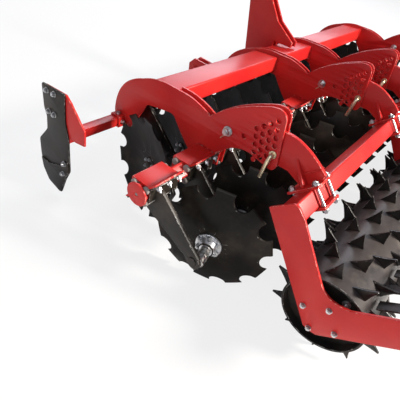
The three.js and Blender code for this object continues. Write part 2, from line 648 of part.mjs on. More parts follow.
// The scraper bar and its blades, which stand between the rings of teeth just clear of the drum.
function scraperBar(side) {
  const [inner, outer] = [ROLLER_INNER_END + ROLLER_PLATE / 2 + GAP, rollerEnd - ROLLER_PLATE / 2 - GAP];
  const [x0, x1] = side > 0 ? [inner, outer] : [-outer, -inner];
  const bars = [squareTube(SCRAPER_BAR_SIDE, 6, x0, x1, SCRAPER_BAR.y, SCRAPER_BAR.z, Math.PI / 4)];
  const toBar = new THREE.Vector2(SCRAPER_BAR.y - ROLLER_AXIS_Y, SCRAPER_BAR.z - rollerAxisZ);
  const angle = toBar.angle();
  const near = DRUM_RADIUS + SCRAPER_CLEARANCE;
  const far = toBar.length() - SCRAPER_BAR_SIDE / 2 + 3;
  const places = ringPlaces(side);
  for (let i = 0; i + 1 < places.length; i += 1) {
    const x = (places[i] + places[i + 1]) / 2;
    const geometry = new THREE.BoxGeometry(SCRAPER_WIDTH, far - near, SCRAPER_THICKNESS);
    geometry.translate(x, (near + far) / 2, 0);
    geometry.rotateX(angle);
    geometry.translate(0, ROLLER_AXIS_Y, rollerAxisZ);
    bars.push(solid(geometry));
  }
  return join(bars);
}

function addRows(harrow) {
  const disc = geometryOf(discSolid());
  for (const [name, side] of [["front", -1], ["rear", 1]]) {
    const harrowRow = row(side);
    harrow.add(mesh(`${name}_row_beam`, rowFrame(harrowRow), blackPaint));
    harrowRow.clamps.forEach(({ arm }, i) => {
      const { axis, centre } = discPlace(harrowRow, arm);
      const piece = new THREE.Mesh(disc, darkSteel);
      piece.name = `${name}_disc_${String(i + 1).padStart(2, "0")}`;
      piece.position.copy(centre);
      piece.rotation.z = Math.atan2(axis.y, axis.x);
      harrow.add(piece);
    });
  }
}

function addSidePlates(harrow) {
  const pairs = [
    ["left_outer", outerPlates],
    ["left_inner", innerPlates],
    ["right_inner", -innerPlates],
    ["right_outer", -outerPlates],
  ];
  for (const [name, x] of pairs) {
    const middles = plateMiddles(x);
    for (const which of ["outer", "inner"]) {
      let body = sidePlate(middles[which]);
      if (name.endsWith("outer") && which === "inner") body = behindBox(body, middles.inner);
      if (name === "left_outer" && which === "outer") {
        const face = middles.outer + PLATE_THICKNESS / 2;
        body = body.subtract(tubeOpening(middles.outer)).add(tubeCollar(face - 1, face + COLLAR_LENGTH));
      }
      harrow.add(mesh(`side_plate_${name}_${which}`, body, red));
    }
  }
  const clear = PLATE_SPREAD / 2 + GAP;
  harrow.add(mesh("box_tie_left", boxTie(innerPlates + clear, frontBeamEnd), red));
  harrow.add(mesh("box_tie_middle", boxTie(-innerPlates + clear, innerPlates - clear), red));
  harrow.add(mesh("box_tie_right", boxTie(-frontBeamEnd, -innerPlates - clear), red));
}

function addHitch(harrow) {
  const { clamps } = row(-1);
  const leftX = (clamps[2].x + clamps[3].x) / 2 - HITCH_SHIFT;
  const rightX = (clamps[6].x + clamps[7].x) / 2 + HITCH_SHIFT;
  harrow.add(mesh("lower_hitch_left", lowerHitch(leftX), red));
  harrow.add(mesh("lower_hitch_right", lowerHitch(rightX), red));
  harrow.add(mesh("headstock_mast", mast(), red));
}

function addDeflectors(harrow) {
  for (const [name, side] of [["left", 1], ["right", -1]]) {
    const group = deflectorFrame(side);
    group.add(mesh(`deflector_arm_${name}`, deflectorArm(side), red));
    group.add(mesh(`deflector_blade_${name}`, deflectorBlade(), blackPaint));
    harrow.add(group);
  }
}

function addRollers(harrow) {
  for (const [name, side] of [["left", 1], ["right", -1]]) {
    const ends = [side * ROLLER_INNER_END, side * rollerEnd].sort((a, b) => a - b);
    const [x0, x1] = [ends[0] + ROLLER_PLATE / 2 + GAP, ends[1] - ROLLER_PLATE / 2 - GAP];
    const { y, z } = ROLLER_BEAM;
    const beam = squareTube(ROLLER_BEAM_SIDE, ROLLER_BEAM_WALL, x0, x1, y, z, Math.PI / 4);
    harrow.add(mesh(`roller_beam_${name}`, beam, red));
    harrow.add(mesh(`roller_end_${name}_outer`, rollerEndPlate(side * rollerEnd, -side), red));
    harrow.add(mesh(`roller_end_${name}_inner`, rollerEndPlate(side * ROLLER_INNER_END, side), red));
    harrow.add(mesh(`roller_arm_${name}_outer`, rollerArm(side * outerPlates), red));
    harrow.add(mesh(`roller_arm_${name}_inner`, rollerArm(side * innerPlates), red));
    harrow.add(mesh(`scraper_bar_${name}`, scraperBar(side), red));
    harrow.add(mesh(`spiked_roller_${name}`, rollerDrum(side), toothSteel));
  }
}

function discHarrow() {
  const harrow = new THREE.Group();
  addRows(harrow);
  addSidePlates(harrow);
  addHitch(harrow);
  addDeflectors(harrow);
  addRollers(harrow);
  harrow.position.z = BEAM_HEIGHT;
  harrow.updateMatrixWorld(true);
  const extent = new THREE.Box3().setFromObject(harrow, true);
  harrow.position.y = -(extent.min.y + extent.max.y) / 2;
  harrow.position.x = -(extent.min.x + extent.max.x) / 2;
  return harrow;
}

const group = discHarrow();

export default group;
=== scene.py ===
# Mounted disc harrow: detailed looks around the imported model. Metres, +X machine's left, +Y rear, +Z up.
import json
import math

import bmesh
import bpy
from mathutils import Matrix, Vector


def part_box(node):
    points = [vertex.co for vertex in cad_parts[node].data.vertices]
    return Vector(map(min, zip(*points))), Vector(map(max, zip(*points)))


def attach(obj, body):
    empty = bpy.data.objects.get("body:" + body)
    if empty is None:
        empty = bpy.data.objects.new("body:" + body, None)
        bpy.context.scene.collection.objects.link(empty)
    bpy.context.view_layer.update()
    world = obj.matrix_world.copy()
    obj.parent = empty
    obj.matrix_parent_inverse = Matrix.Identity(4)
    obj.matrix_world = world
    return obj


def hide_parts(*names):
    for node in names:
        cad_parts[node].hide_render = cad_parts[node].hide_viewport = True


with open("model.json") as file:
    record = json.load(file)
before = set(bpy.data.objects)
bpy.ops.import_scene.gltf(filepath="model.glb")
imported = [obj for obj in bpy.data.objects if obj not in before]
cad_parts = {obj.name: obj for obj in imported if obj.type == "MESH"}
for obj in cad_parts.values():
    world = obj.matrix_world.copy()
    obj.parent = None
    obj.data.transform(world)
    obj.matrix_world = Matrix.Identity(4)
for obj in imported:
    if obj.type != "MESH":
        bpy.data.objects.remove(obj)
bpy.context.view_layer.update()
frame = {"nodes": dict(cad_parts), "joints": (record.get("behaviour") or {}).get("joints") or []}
scene = bpy.context.scene
mm = 0.001

# Where the machine's own axes lie in the row frame, in millimetres.
layout = {
    "shiftY": -201,  # from the rear beam's axis to the row frame
    "shiftZ": 475,
    "frontBeamY": -570,  # from the rear beam's axis
    "halfWidth": 1734.5,
    "beamInnerEnd": 1279.5,
    "frontBeamEnd": 1264.7,
    "outerPlates": 1250,
    "innerPlates": 250,
}


def keepMesh(holder):
    # a temporary object's evaluated shape as a plain mesh
    graph = bpy.context.evaluated_depsgraph_get()
    mesh = bpy.data.meshes.new_from_object(holder.evaluated_get(graph))
    data = holder.data
    bpy.data.objects.remove(holder)
    if isinstance(data, bpy.types.Curve):
        bpy.data.curves.remove(data)
    return mesh


def outline(*stops, steps=8):
    # straight to a (y, z) stop, or curved to (pullY, pullZ, y, z)
    points = [Vector(stops[0])]
    for stop in stops[1:]:
        if len(stop) == 2:
            points.append(Vector(stop))
            continue
        start, pull, end = points[-1], Vector(stop[:2]), Vector(stop[2:])
        for step in range(1, steps + 1):
            t = step / steps
            points.append(start * (1 - t) ** 2 + pull * 2 * t * (1 - t) + end * t * t)
    return points


def rounded(points, radius, steps=4):
    # the same outline with its corners rounded
    corners = [Vector(point) for point in points]
    made = []
    for i, corner in enumerate(corners):
        before, after = corners[i - 1], corners[(i + 1) % len(corners)]
        reach = min(radius, (before - corner).length * 0.45, (after - corner).length * 0.45)
        start = corner + (before - corner).normalized() * reach
        end = corner + (after - corner).normalized() * reach
        for step in range(steps + 1):
            t = step / steps
            made.append(start * (1 - t) ** 2 + corner * 2 * t * (1 - t) + end * t * t)
    return made


def circle(y, z, radius, sides=24):
    turns = [2 * math.pi * i / sides for i in range(sides)]
    return [Vector((y + radius * math.cos(t), z + radius * math.sin(t))) for t in turns]


def square(y, z, width, height=None, turn=0.0, corner=0.0):
    w, h = width / 2, (height or width) / 2
    points = [(-w, -h), (w, -h), (w, h), (-w, h)]
    c, s = math.cos(turn), math.sin(turn)
    points = [(y + a * c - b * s, z + a * s + b * c) for a, b in points]
    return rounded(points, corner) if corner else [Vector(point) for point in points]


def flatPlate(points, x0, x1, holes=(), bevel=1.2):
    # a plate across the machine, cut to an outline in (y, z) from the rear beam's axis
    curve = bpy.data.curves.new("plate", "CURVE")
    curve.dimensions = "2D"
    curve.fill_mode = "BOTH"
    curve.extrude = ((x1 - x0) / 2 - bevel) * mm
    curve.bevel_depth = bevel * mm
    curve.bevel_resolution = 1
    curve.offset = -bevel * mm
    for loop in (points, *holes):
        spline = curve.splines.new("POLY")
        spline.points.add(len(loop) - 1)
        for point, spot in zip(spline.points, loop):
            point.co = (spot[0] * mm, spot[1] * mm, 0, 1)
        spline.use_cyclic_u = True
    holder = bpy.data.objects.new("plate", curve)
    scene.collection.objects.link(holder)
    mesh = keepMesh(holder)
    across = (x0 + x1) / 2
    mesh.transform(Matrix((
        (0, 0, 1, across * mm),
        (1, 0, 0, layout["shiftY"] * mm),
        (0, 1, 0, layout["shiftZ"] * mm),
        (0, 0, 0, 1),
    )))
    return cleaned(mesh)


def cleaned(mesh, distance=1e-5):
    shape = bmesh.new()
    shape.from_mesh(mesh)
    bmesh.ops.remove_doubles(shape, verts=shape.verts, dist=distance)
    bmesh.ops.recalc_face_normals(shape, faces=shape.faces)
    shape.to_mesh(mesh)
    shape.free()
    return mesh


def place(x, y, z):
    return Vector((x, y + layout["shiftY"], z + layout["shiftZ"])) * mm


def lathe(profile, start, direction, sides=32):
    # turned shape: (along, radius) pairs in millimetres, about an axis from start
    axis = Vector(direction).normalized()
    side = axis.orthogonal().normalized()
    other = axis.cross(side)
    shape = bmesh.new()
    rings = []
    for along, radius in profile:
        middle = Vector(start) + axis * along * mm
        if radius == 0:
            rings.append([shape.verts.new(middle)])
            continue
        turns = [2 * math.pi * i / sides for i in range(sides)]
        rings.append([
            shape.verts.new(middle + (side * math.cos(t) + other * math.sin(t)) * radius * mm) for t in turns
        ])
    for low, high in zip(rings, rings[1:]):
        for i in range(sides):
            j = (i + 1) % sides
            if len(low) == 1:
                shape.faces.new((low[0], high[j], high[i]))
            elif len(high) == 1:
                shape.faces.new((low[i], low[j], high[0]))
            else:
                shape.faces.new((low[i], low[j], high[j], high[i]))
    bmesh.ops.recalc_face_normals(shape, faces=shape.faces)
    mesh = bpy.data.meshes.new("turned")
    shape.to_mesh(mesh)
    shape.free()
    return mesh


def rod(radius, start, end, sides=24, bevel=1.0):
    length = (Vector(end) - Vector(start)).length / mm
    profile = [
        (0, 0), (0, radius - bevel), (bevel, radius), (length - bevel, radius),
        (length, radius - bevel), (length, 0),
    ]
    return lathe(profile, start, Vector(end) - Vector(start), sides)


def bentRod(points, radius, sides=12):
    # a round bar along a row of points, with closed ends
    spots = [Vector(point) for point in points]
    shape = bmesh.new()
    normal = (spots[1] - spots[0]).orthogonal().normalized()
    rings = []
    for i, spot in enumerate(spots):
        ahead = (spots[min(i + 1, len(spots) - 1)] - spots[max(i - 1, 0)]).normalized()
        normal = (normal - ahead * normal.dot(ahead)).normalized()
        other = ahead.cross(normal)
        turns = [2 * math.pi * k / sides for k in range(sides)]
        rings.append([
            shape.verts.new(spot + (normal * math.cos(t) + other * math.sin(t)) * radius * mm) for t in turns
        ])
    for low, high in zip(rings, rings[1:]):
        for k in range(sides):
            shape.faces.new((low[k], low[(k + 1) % sides], high[(k + 1) % sides], high[k]))
    shape.faces.new(reversed(rings[0]))
    shape.faces.new(rings[-1])
    bmesh.ops.recalc_face_normals(shape, faces=shape.faces)
    mesh = bpy.data.meshes.new("bent")
    shape.to_mesh(mesh)
    shape.free()
    return mesh


def smoothPath(points, steps=6):
    # a rounded run through the middles of a path's legs
    spots = [Vector(point) for point in points]
    made = [spots[0]]
    for i in range(1, len(spots) - 1):
        start, corner, end = (spots[i - 1] + spots[i]) / 2, spots[i], (spots[i] + spots[i + 1]) / 2
        start = corner + (start - corner) * 0.5
        end = corner + (end - corner) * 0.5
        for step in range(steps + 1):
            t = step / steps
            made.append(start * (1 - t) ** 2 + corner * 2 * t * (1 - t) + end * t * t)
    made.append(spots[-1])
    return made


def softened(node, bevel=1.6, angle=25):
    # a CAD node's shape with its flat faces whole again and its corners rounded
    mesh = frame["nodes"][node].data.copy()
    shape = bmesh.new()
    shape.from_mesh(mesh)
    bmesh.ops.remove_doubles(shape, verts=shape.verts, dist=1e-5)
    bmesh.ops.dissolve_limit(
        shape, angle_limit=math.radians(1), verts=shape.verts, edges=shape.edges,
        use_dissolve_boundaries=False,
    )
    sharp = [e for e in shape.edges if e.is_manifold and e.calc_face_angle(0) > math.radians(angle)]
    bmesh.ops.bevel(
        shape, geom=sharp, offset=bevel * mm, offset_type="OFFSET", segments=2, profile=0.6,
        affect="EDGES", clamp_overlap=True,
    )
    bmesh.ops.triangulate(shape, faces=[f for f in shape.faces if len(f.verts) > 4])
    mesh.materials.clear()
    shape.to_mesh(mesh)
    shape.free()
    return mesh


def moved(mesh, matrix):
    copy = mesh.copy()
    copy.transform(matrix)
    return copy


def markEdges(mesh, narrow=2.3):
    # 1 on the thin faces that round a corner, where paint wears first
    worn = mesh.attributes.new("edgeWear", "FLOAT", "CORNER")
    values = [0.0] * len(mesh.loops)
    spots = mesh.vertices
    for face in mesh.polygons:
        sides = sorted((spots[a].co - spots[b].co).length for a, b in face.edge_keys)
        if len(sides) == 4 and sides[1] < narrow * mm:
            for corner in face.loop_indices:
                values[corner] = 1.0
    worn.data.foreach_set("value", values)


def piece(name, parts, body, stands=(), angle=35):
    # parts are (mesh, material) pairs; all become one object that rides on a body
    shape = bmesh.new()
    materials = []
    for mesh, material in parts:
        if material not in materials:
            materials.append(material)
        first = len(shape.faces)
        shape.from_mesh(mesh)
        shape.faces.ensure_lookup_table()
        for face in shape.faces[first:]:
            face.material_index = materials.index(material)
    joined = bpy.data.meshes.new(name)
    shape.to_mesh(joined)
    shape.free()
    for material in materials:
        joined.materials.append(material)
    for mesh in {mesh for mesh, _ in parts}:
        if mesh.users == 0:
            bpy.data.meshes.remove(mesh)
    markEdges(joined)
    joined.shade_smooth()
    for face in joined.polygons:
        face.use_smooth = face.loop_total > 3 or face.area < 2e-6
    joined.set_sharp_from_angle(angle=math.radians(angle))
    made = bpy.data.objects.new(name, joined)
    scene.collection.objects.link(made)
    if stands:
        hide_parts(*stands)
    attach(made, body)
    return made


class Wire:
    # one socket, with the arithmetic that the materials use
    def __init__(self, graph, socket):
        self.graph = graph
        self.socket = socket

    def math(self, operation, first, second=0.0):
        return self.graph.node("ShaderNodeMath", {"operation": operation}, {0: first, 1: second})

    def __add__(self, other):
        return self.math("ADD", self, other)

    __radd__ = __add__

    def __sub__(self, other):
        return self.math("SUBTRACT", self, other)

    def __rsub__(self, other):
        return self.math("SUBTRACT", other, self)

    def __mul__(self, other):
        return self.math("MULTIPLY", self, other)

    __rmul__ = __mul__

    def __truediv__(self, other):
        return self.math("DIVIDE", self, other)

    def __mod__(self, other):
        return self.math("MODULO", self, other)

    def floor(self):
        return self.math("FLOOR", self)

    def above(self, low, high):
        # 0 below low, 1 above high, smooth between
        return self.graph.node(
            "ShaderNodeMapRange", {"interpolation_type": "SMOOTHSTEP"},
            {"Value": self, "From Min": low, "From Max": high},
        )


class Graph:
    def __init__(self, tree):
        self.tree = tree

    def node(self, kind, settings=None, sockets=None, out=0):
        made = self.tree.nodes.new(kind)
        for key, value in (settings or {}).items():
            setattr(made, key, value)
        for key, value in (sockets or {}).items():
            target = made.inputs[key]
            if isinstance(value, (list, tuple)) and value and isinstance(value[0], Wire):
                for wire in value:
                    self.tree.links.new(wire.socket, target)
            elif isinstance(value, Wire):
                self.tree.links.new(value.socket, target)
            else:
                target.default_value = value
        return Wire(self, made.outputs[out]) if len(made.outputs) else made


class Finish(Graph):
    def __init__(self, name):
        self.material = bpy.data.materials.new(name)
        self.material.use_nodes = True
        super().__init__(self.material.node_tree)
        self.tree.nodes.clear()
        self.spot = self.node("ShaderNodeTexCoord", out=3)

    def noise(self, scale, detail=4.0, rough=0.55, stretch=None):
        spot = self.spot
        if stretch:
            spot = self.node("ShaderNodeMapping", None, {"Vector": spot, "Scale": stretch})
        return self.node(
            "ShaderNodeTexNoise", None,
            {"Vector": spot, "Scale": scale, "Detail": detail, "Roughness": rough},
        )

    def mix(self, mask, first, second):
        def colour(value):
            return value if isinstance(value, Wire) else (*value, 1)
        return self.node(
            "ShaderNodeMix", {"data_type": "RGBA"}, {0: mask, 6: colour(first), 7: colour(second)}, out=2,
        )

    def attribute(self, name):
        return self.node("ShaderNodeAttribute", {"attribute_name": name}, out=2)

    def bump(self, height, strength, distance):
        return self.node(
            "ShaderNodeBump", None, {"Height": height, "Strength": strength, "Distance": distance},
        )

    def surface(self, **sockets):
        names = {key.replace("_", " "): value for key, value in sockets.items()}
        shader = self.node("ShaderNodeBsdfPrincipled", None, names)
        self.node("ShaderNodeOutputMaterial", None, {"Surface": shader})
        return self.material


def glossPaint(name, colours, dust, dustAmount, chip, rough=(0.24, 0.42), coat=0.1, sheen=0.4):
    # sprayed paint: cloudy shade, dust in patches, chips along the edges, fine orange peel
    finish = Finish(name)
    cloud = finish.noise(2.6, 5.0).above(0.35, 0.68)
    base = finish.mix(cloud, colours[0], colours[1])
    film = finish.noise(7.0, 7.0, 0.68).above(0.46, 0.75) * dustAmount
    dusty = finish.mix(film, base, dust)
    edge = finish.attribute("edgeWear")
    chips = edge * finish.noise(46.0, 5.0, 0.7).above(0.5, 0.62)
    specks = finish.noise(150.0, 3.0, 0.6).above(0.72, 0.78) * 0.6
    bare = finish.node("ShaderNodeMath", {"operation": "MAXIMUM"}, {0: chips, 1: specks * 0.35})
    colour = finish.mix(bare, dusty, chip)
    peel = finish.noise(520.0, 2.0) * 0.5 + finish.noise(38.0, 3.0)
    roughness = film * (rough[1] - rough[0]) + rough[0] + bare * 0.2
    return finish.surface(
        Base_Color=colour, Roughness=roughness, Metallic=0.0, Specular_IOR_Level=sheen, Coat_Weight=coat,
        Coat_Roughness=0.18,
        Normal=finish.bump(peel, 0.12, 0.0006),
    )


paintLook = {
    "red": [(0.56, 0.022, 0.018), (0.48, 0.014, 0.015)],
    "redDust": (0.42, 0.10, 0.075),
    "redChip": (0.72, 0.34, 0.28),
    "black": [(0.020, 0.016, 0.012), (0.011, 0.009, 0.008)],
    "earth": (0.075, 0.058, 0.042),
    "blackChip": (0.50, 0.48, 0.45),
    "disc": [(0.014, 0.011, 0.008), (0.006, 0.005, 0.0045)],
    "roller": [(0.016, 0.014, 0.013), (0.008, 0.0075, 0.007)],
    # the drum's skin: the roller's black paint made lighter, painted light standing for the sunlit drum, with
    # dust on top
    "drum": [(0.060, 0.050, 0.046), (0.026, 0.024, 0.026)],
    "rollerDust": (0.15, 0.125, 0.105),
}
redPaint = glossPaint(
    "redPaint", paintLook["red"], paintLook["redDust"], 0.07, paintLook["redChip"], (0.36, 0.5), 0.05,
    0.26,
)
blackPaint = glossPaint(
    "blackPaint", paintLook["black"], paintLook["earth"], 0.55, paintLook["blackChip"], (0.38, 0.6), 0.0, 0.3,
)
discPaint = glossPaint(
    "discPaint", paintLook["disc"], paintLook["earth"], 0.35, paintLook["blackChip"], (0.36, 0.6), 0.0, 0.14,
)
rollerPaint = glossPaint(
    "rollerPaint", paintLook["roller"], paintLook["earth"], 0.3, paintLook["blackChip"], (0.32, 0.5),
    0.0, 0.3,
)
# lighter copy of the roller paint for the drum's outer skin: painted light for its sunlit face, plus earth
# dust
drumPaint = glossPaint(
    "drumPaint", paintLook["drum"], paintLook["rollerDust"], 0.5, paintLook["blackChip"], (0.36, 0.6),
    0.0, 0.3,
)


def plainMetal(name, colours, rough, grain=220.0, dirt=(0.10, 0.085, 0.07), dirtAmount=0.5):
    finish = Finish(name)
    tone = finish.noise(grain, 3.0).above(0.35, 0.7)
    grime = finish.noise(60.0, 6.0, 0.7).above(0.52, 0.72) * dirtAmount
    colour = finish.mix(grime, finish.mix(tone, colours[0], colours[1]), dirt)
    return finish.surface(
        Base_Color=colour, Roughness=finish.noise(90.0) * 0.25 + rough + grime * 0.3, Metallic=1.0 - grime,
        Normal=finish.bump(finish.noise(grain * 3, 2.0), 0.15, 0.0004),
    )


zincSteel = plainMetal("zincSteel", [(0.62, 0.62, 0.63), (0.40, 0.41, 0.43)], 0.2)
yellowZinc = plainMetal("yellowZinc", [(0.86, 0.74, 0.50), (0.70, 0.62, 0.46)], 0.22)
wornSteel = plainMetal(
    "wornSteel", [(0.60, 0.59, 0.57), (0.30, 0.29, 0.28)], 0.26, 130.0, (0.05, 0.043, 0.036), 0.9,
)
hubSteel = plainMetal(
    "hubSteel", [(0.74, 0.75, 0.78), (0.48, 0.49, 0.52)], 0.20, 40.0, (0.03, 0.027, 0.025), 0.95,
)


def rubberFinish():
    finish = Finish("greyRubber")
    tone = finish.noise(30.0, 5.0).above(0.3, 0.7)
    return finish.surface(
        Base_Color=finish.mix(tone, (0.17, 0.155, 0.145), (0.30, 0.28, 0.26)),
        Roughness=finish.noise(80.0) * 0.2 + 0.6,
        Normal=finish.bump(finish.noise(400.0, 4.0), 0.3, 0.0008),
    )


greyRubber = rubberFinish()
print("finishes made")


def newTree(name, inputs):
    tree = bpy.data.node_groups.new(name, "GeometryNodeTree")
    tree.interface.new_socket("Geometry", in_out="INPUT", socket_type="NodeSocketGeometry")
    for label, kind in inputs:
        tree.interface.new_socket(label, in_out="INPUT", socket_type=kind)
    tree.interface.new_socket("Geometry", in_out="OUTPUT", socket_type="NodeSocketGeometry")
    graph = Graph(tree)
    group = tree.nodes.new("NodeGroupInput")
    return graph, {socket.name: Wire(graph, socket) for socket in group.outputs if socket.name}


def closeTree(graph, geometry, material):
    real = graph.node("GeometryNodeRealizeInstances", None, {"Geometry": geometry})
    painted = graph.node("GeometryNodeSetMaterial", None, {"Geometry": real, "Material": material})
    out = graph.tree.nodes.new("NodeGroupOutput")
    graph.tree.links.new(painted.socket, out.inputs[0])
    return graph.tree


def grown(mesh, tree, values):
    # the plain mesh that a tree makes from a base mesh
    holder = bpy.data.objects.new("growing", mesh)
    scene.collection.objects.link(holder)
    modifier = holder.modifiers.new("growing", "NODES")
    modifier.node_group = tree
    for item in tree.interface.items_tree:
        if item.in_out == "INPUT" and item.name in values:
            modifier[item.identifier] = values[item.name]
    made = keepMesh(holder)
    made.materials.clear()
    return made


def boltTree():
    # washer, hexagon and stud on every point, turned to its aim and scaled to its size
    graph, given = newTree("boltSet", [
        ("Washer Radius", "NodeSocketFloat"), ("Head Radius", "NodeSocketFloat"),
        ("Head Height", "NodeSocketFloat"), ("Stud Length", "NodeSocketFloat"),
    ])

    def turned(sides, radius, depth, lift):
        body = graph.node(
            "GeometryNodeMeshCylinder", None, {"Vertices": sides, "Radius": radius, "Depth": depth},
        )
        raised = graph.node("ShaderNodeCombineXYZ", None, {2: lift})
        return graph.node("GeometryNodeTransform", None, {"Geometry": body, "Translation": raised})

    thin = given["Head Height"] * 0.3
    height = given["Head Height"]
    washer = turned(20, given["Washer Radius"], thin, thin * 0.5)
    head = turned(6, given["Head Radius"], height, thin + height * 0.5)
    crown = turned(16, given["Head Radius"] * 0.84, height * 0.16, thin + height * 1.05)
    stud = turned(
        10, given["Head Radius"] * 0.52, given["Stud Length"],
        thin + height + given["Stud Length"] * 0.5,
    )
    bolt = graph.node("GeometryNodeJoinGeometry", None, {"Geometry": [stud, crown, head, washer]})
    aim = graph.node(
        "GeometryNodeInputNamedAttribute", {"data_type": "FLOAT_VECTOR"}, {"Name": "aim"},
    )
    size = graph.node("GeometryNodeInputNamedAttribute", {"data_type": "FLOAT"}, {"Name": "size"})
    turn = graph.node("FunctionNodeAlignRotationToVector", {"axis": "Z"}, {"Vector": aim})
    placed = graph.node(
        "GeometryNodeInstanceOnPoints", None,
        {"Points": given["Geometry"], "Instance": bolt, "Rotation": turn, "Scale": size},
    )
    return closeTree(graph, placed, zincSteel)


boltShape = {"Washer Radius": 0.0150, "Head Radius": 0.0132, "Head Height": 0.0095, "Stud Length": 0.006}
boltMaker = boltTree()
boltSpots = {}  # body: [(place, aim, size)]


def bolt(body, spot, aim, size=1.0):
    boltSpots.setdefault(body, []).append((Vector(spot), Vector(aim).normalized(), size))


def boltMesh(spots):
    mesh = bpy.data.meshes.new("spots")
    mesh.from_pydata([spot for spot, _, _ in spots], [], [])
    aims = mesh.attributes.new("aim", "FLOAT_VECTOR", "POINT")
    aims.data.foreach_set("vector", [value for _, aim, _ in spots for value in aim])
    sizes = mesh.attributes.new("size", "FLOAT", "POINT")
    sizes.data.foreach_set("value", [size for _, _, size in spots])
    return grown(mesh, boltMaker, boltShape)


def beadTree():
    # a row of flat overlapping drops along the base mesh's edges
    graph, given = newTree("weldBead", [("Spacing", "NodeSocketFloat"), ("Drop Radius", "NodeSocketFloat")])
    path = graph.node("GeometryNodeMeshToCurve", None, {"Mesh": given["Geometry"]})
    points = graph.node(
        "GeometryNodeCurveToPoints", {"mode": "LENGTH"}, {"Curve": path, "Length": given["Spacing"]},
    )
    drop = graph.node("GeometryNodeMeshIcoSphere", None, {"Radius": given["Drop Radius"], "Subdivisions": 2})
    wobble = graph.node(
        "FunctionNodeRandomValue", {"data_type": "FLOAT"}, {2: 0.8, 3: 1.15, "Seed": 4}, out=1,
    )
    placed = graph.node(
        "GeometryNodeInstanceOnPoints", None, {"Points": points, "Instance": drop, "Scale": wobble},
    )
    return closeTree(graph, placed, redPaint)


beadMaker = beadTree()
beadPaths = {}  # body: list of closed or open rows of places


def bead(body, points, closed=False):
    beadPaths.setdefault(body, []).append(([Vector(point) for point in points], closed))


def beadMesh(paths):
    spots, edges = [], []
    for points, closed in paths:
        first = len(spots)
        spots += points
        edges += [(first + i, first + i + 1) for i in range(len(points) - 1)]
        if closed:
            edges.append((first + len(points) - 1, first))
    mesh = bpy.data.meshes.new("seam")
    mesh.from_pydata(spots, edges, [])
    return grown(mesh, beadMaker, {"Spacing": 0.0052, "Drop Radius": 0.0042})


view = {
    "place": (2.6168, 0.6193, 1.5141),
    "right": (-0.628, 0.7549, 0.1882),
    "back": (0.6605, 0.3895, 0.6412),
    "lens": 34.65,
}


def makeCamera():
    data = bpy.data.cameras.new("camera")
    data.lens = view["lens"]
    data.sensor_width = 36
    data.clip_start = 0.05
    data.clip_end = 60
    back = Vector(view["back"]).normalized()
    right = Vector(view["right"])
    right = (right - back * right.dot(back)).normalized()
    up = back.cross(right)
    camera = bpy.data.objects.new("camera", data)
    camera.matrix_world = Matrix((
        (right.x, up.x, back.x, view["place"][0]),
        (right.y, up.y, back.y, view["place"][1]),
        (right.z, up.z, back.z, view["place"][2]),
        (0, 0, 0, 1),
    ))
    scene.collection.objects.link(camera)
    scene.camera = camera


light = {
    "key": {"from": (-1.2, 5.6, 4.2), "size": 1.3, "power": 1100, "colour": (1.0, 0.94, 0.86)},
    "fill": {"from": (5.5, 0.5, 3.0), "size": 3.5, "power": 85, "colour": (0.95, 0.96, 1.0)},
    "sky": {"from": (-5.2, -4.4, 5.0), "size": 7.0, "power": 520, "colour": (0.86, 0.90, 1.0)},
    "world": ((0.86, 0.90, 1.0), 0.22),
}


def makeLights():
    for name in ("key", "fill", "sky"):
        look = light[name]
        data = bpy.data.lights.new(name, "AREA")
        data.shape = "DISK"
        data.size = look["size"]
        data.energy = look["power"]
        data.color = look["colour"]
        lamp = bpy.data.objects.new(name, data)
        lamp.location = look["from"]
        aim = Vector((0.6, 0.0, 0.4)) - lamp.location
        lamp.rotation_euler = aim.to_track_quat("-Z", "Y").to_euler()
        scene.collection.objects.link(lamp)


def makeWorld():
    world = bpy.data.worlds.new("studio")
    world.use_nodes = True
    scene.world = world
    graph = Graph(world.node_tree)
    graph.tree.nodes.clear()
    path = graph.tree.nodes.new("ShaderNodeLightPath")
    seen = Wire(graph, path.outputs["Is Camera Ray"])
    colour, strength = light["world"]
    plain = graph.node("ShaderNodeBackground", None, {"Color": (*colour, 1), "Strength": strength})
    white = graph.node("ShaderNodeBackground", None, {"Color": (1, 1, 1, 1), "Strength": 1.0})
    both = graph.node("ShaderNodeMixShader", None, {0: seen, 1: plain, 2: white})
    graph.node("ShaderNodeOutputWorld", None, {"Surface": both})


def makeFloor():
    finish = Finish("paleFloor")
    path = finish.tree.nodes.new("ShaderNodeLightPath")
    seen = Wire(finish, path.outputs["Is Camera Ray"])
    plain = finish.node("ShaderNodeBsdfDiffuse", None, {"Color": (0.80, 0.80, 0.80, 1)})
    bright = finish.node("ShaderNodeEmission", None, {"Color": (1, 1, 1, 1), "Strength": 1.0})
    both = finish.node("ShaderNodeMixShader", None, {0: seen * 0.8, 1: plain, 2: bright})
    finish.node("ShaderNodeOutputMaterial", None, {"Surface": both})
    mesh = bpy.data.meshes.new("floor")
    far = 14
    mesh.from_pydata([(-far, -far, 0), (far, -far, 0), (far, far, 0), (-far, far, 0)], [], [(0, 1, 2, 3)])
    mesh.materials.append(finish.material)
    floor = bpy.data.objects.new("floor", mesh)
    scene.collection.objects.link(floor)


makeCamera()
makeLights()
makeWorld()
makeFloor()
scene.view_settings.view_transform = "Standard"
print("stage set")


disc = {
    "radius": 280,
    "thickness": 6,
    "notches": 10,
    "toothHalfAngle": math.radians(9),
    "flatRadius": 105,
    "flatDepth": 12.3,
    "depth": 57,
    "bolts": 6,
}


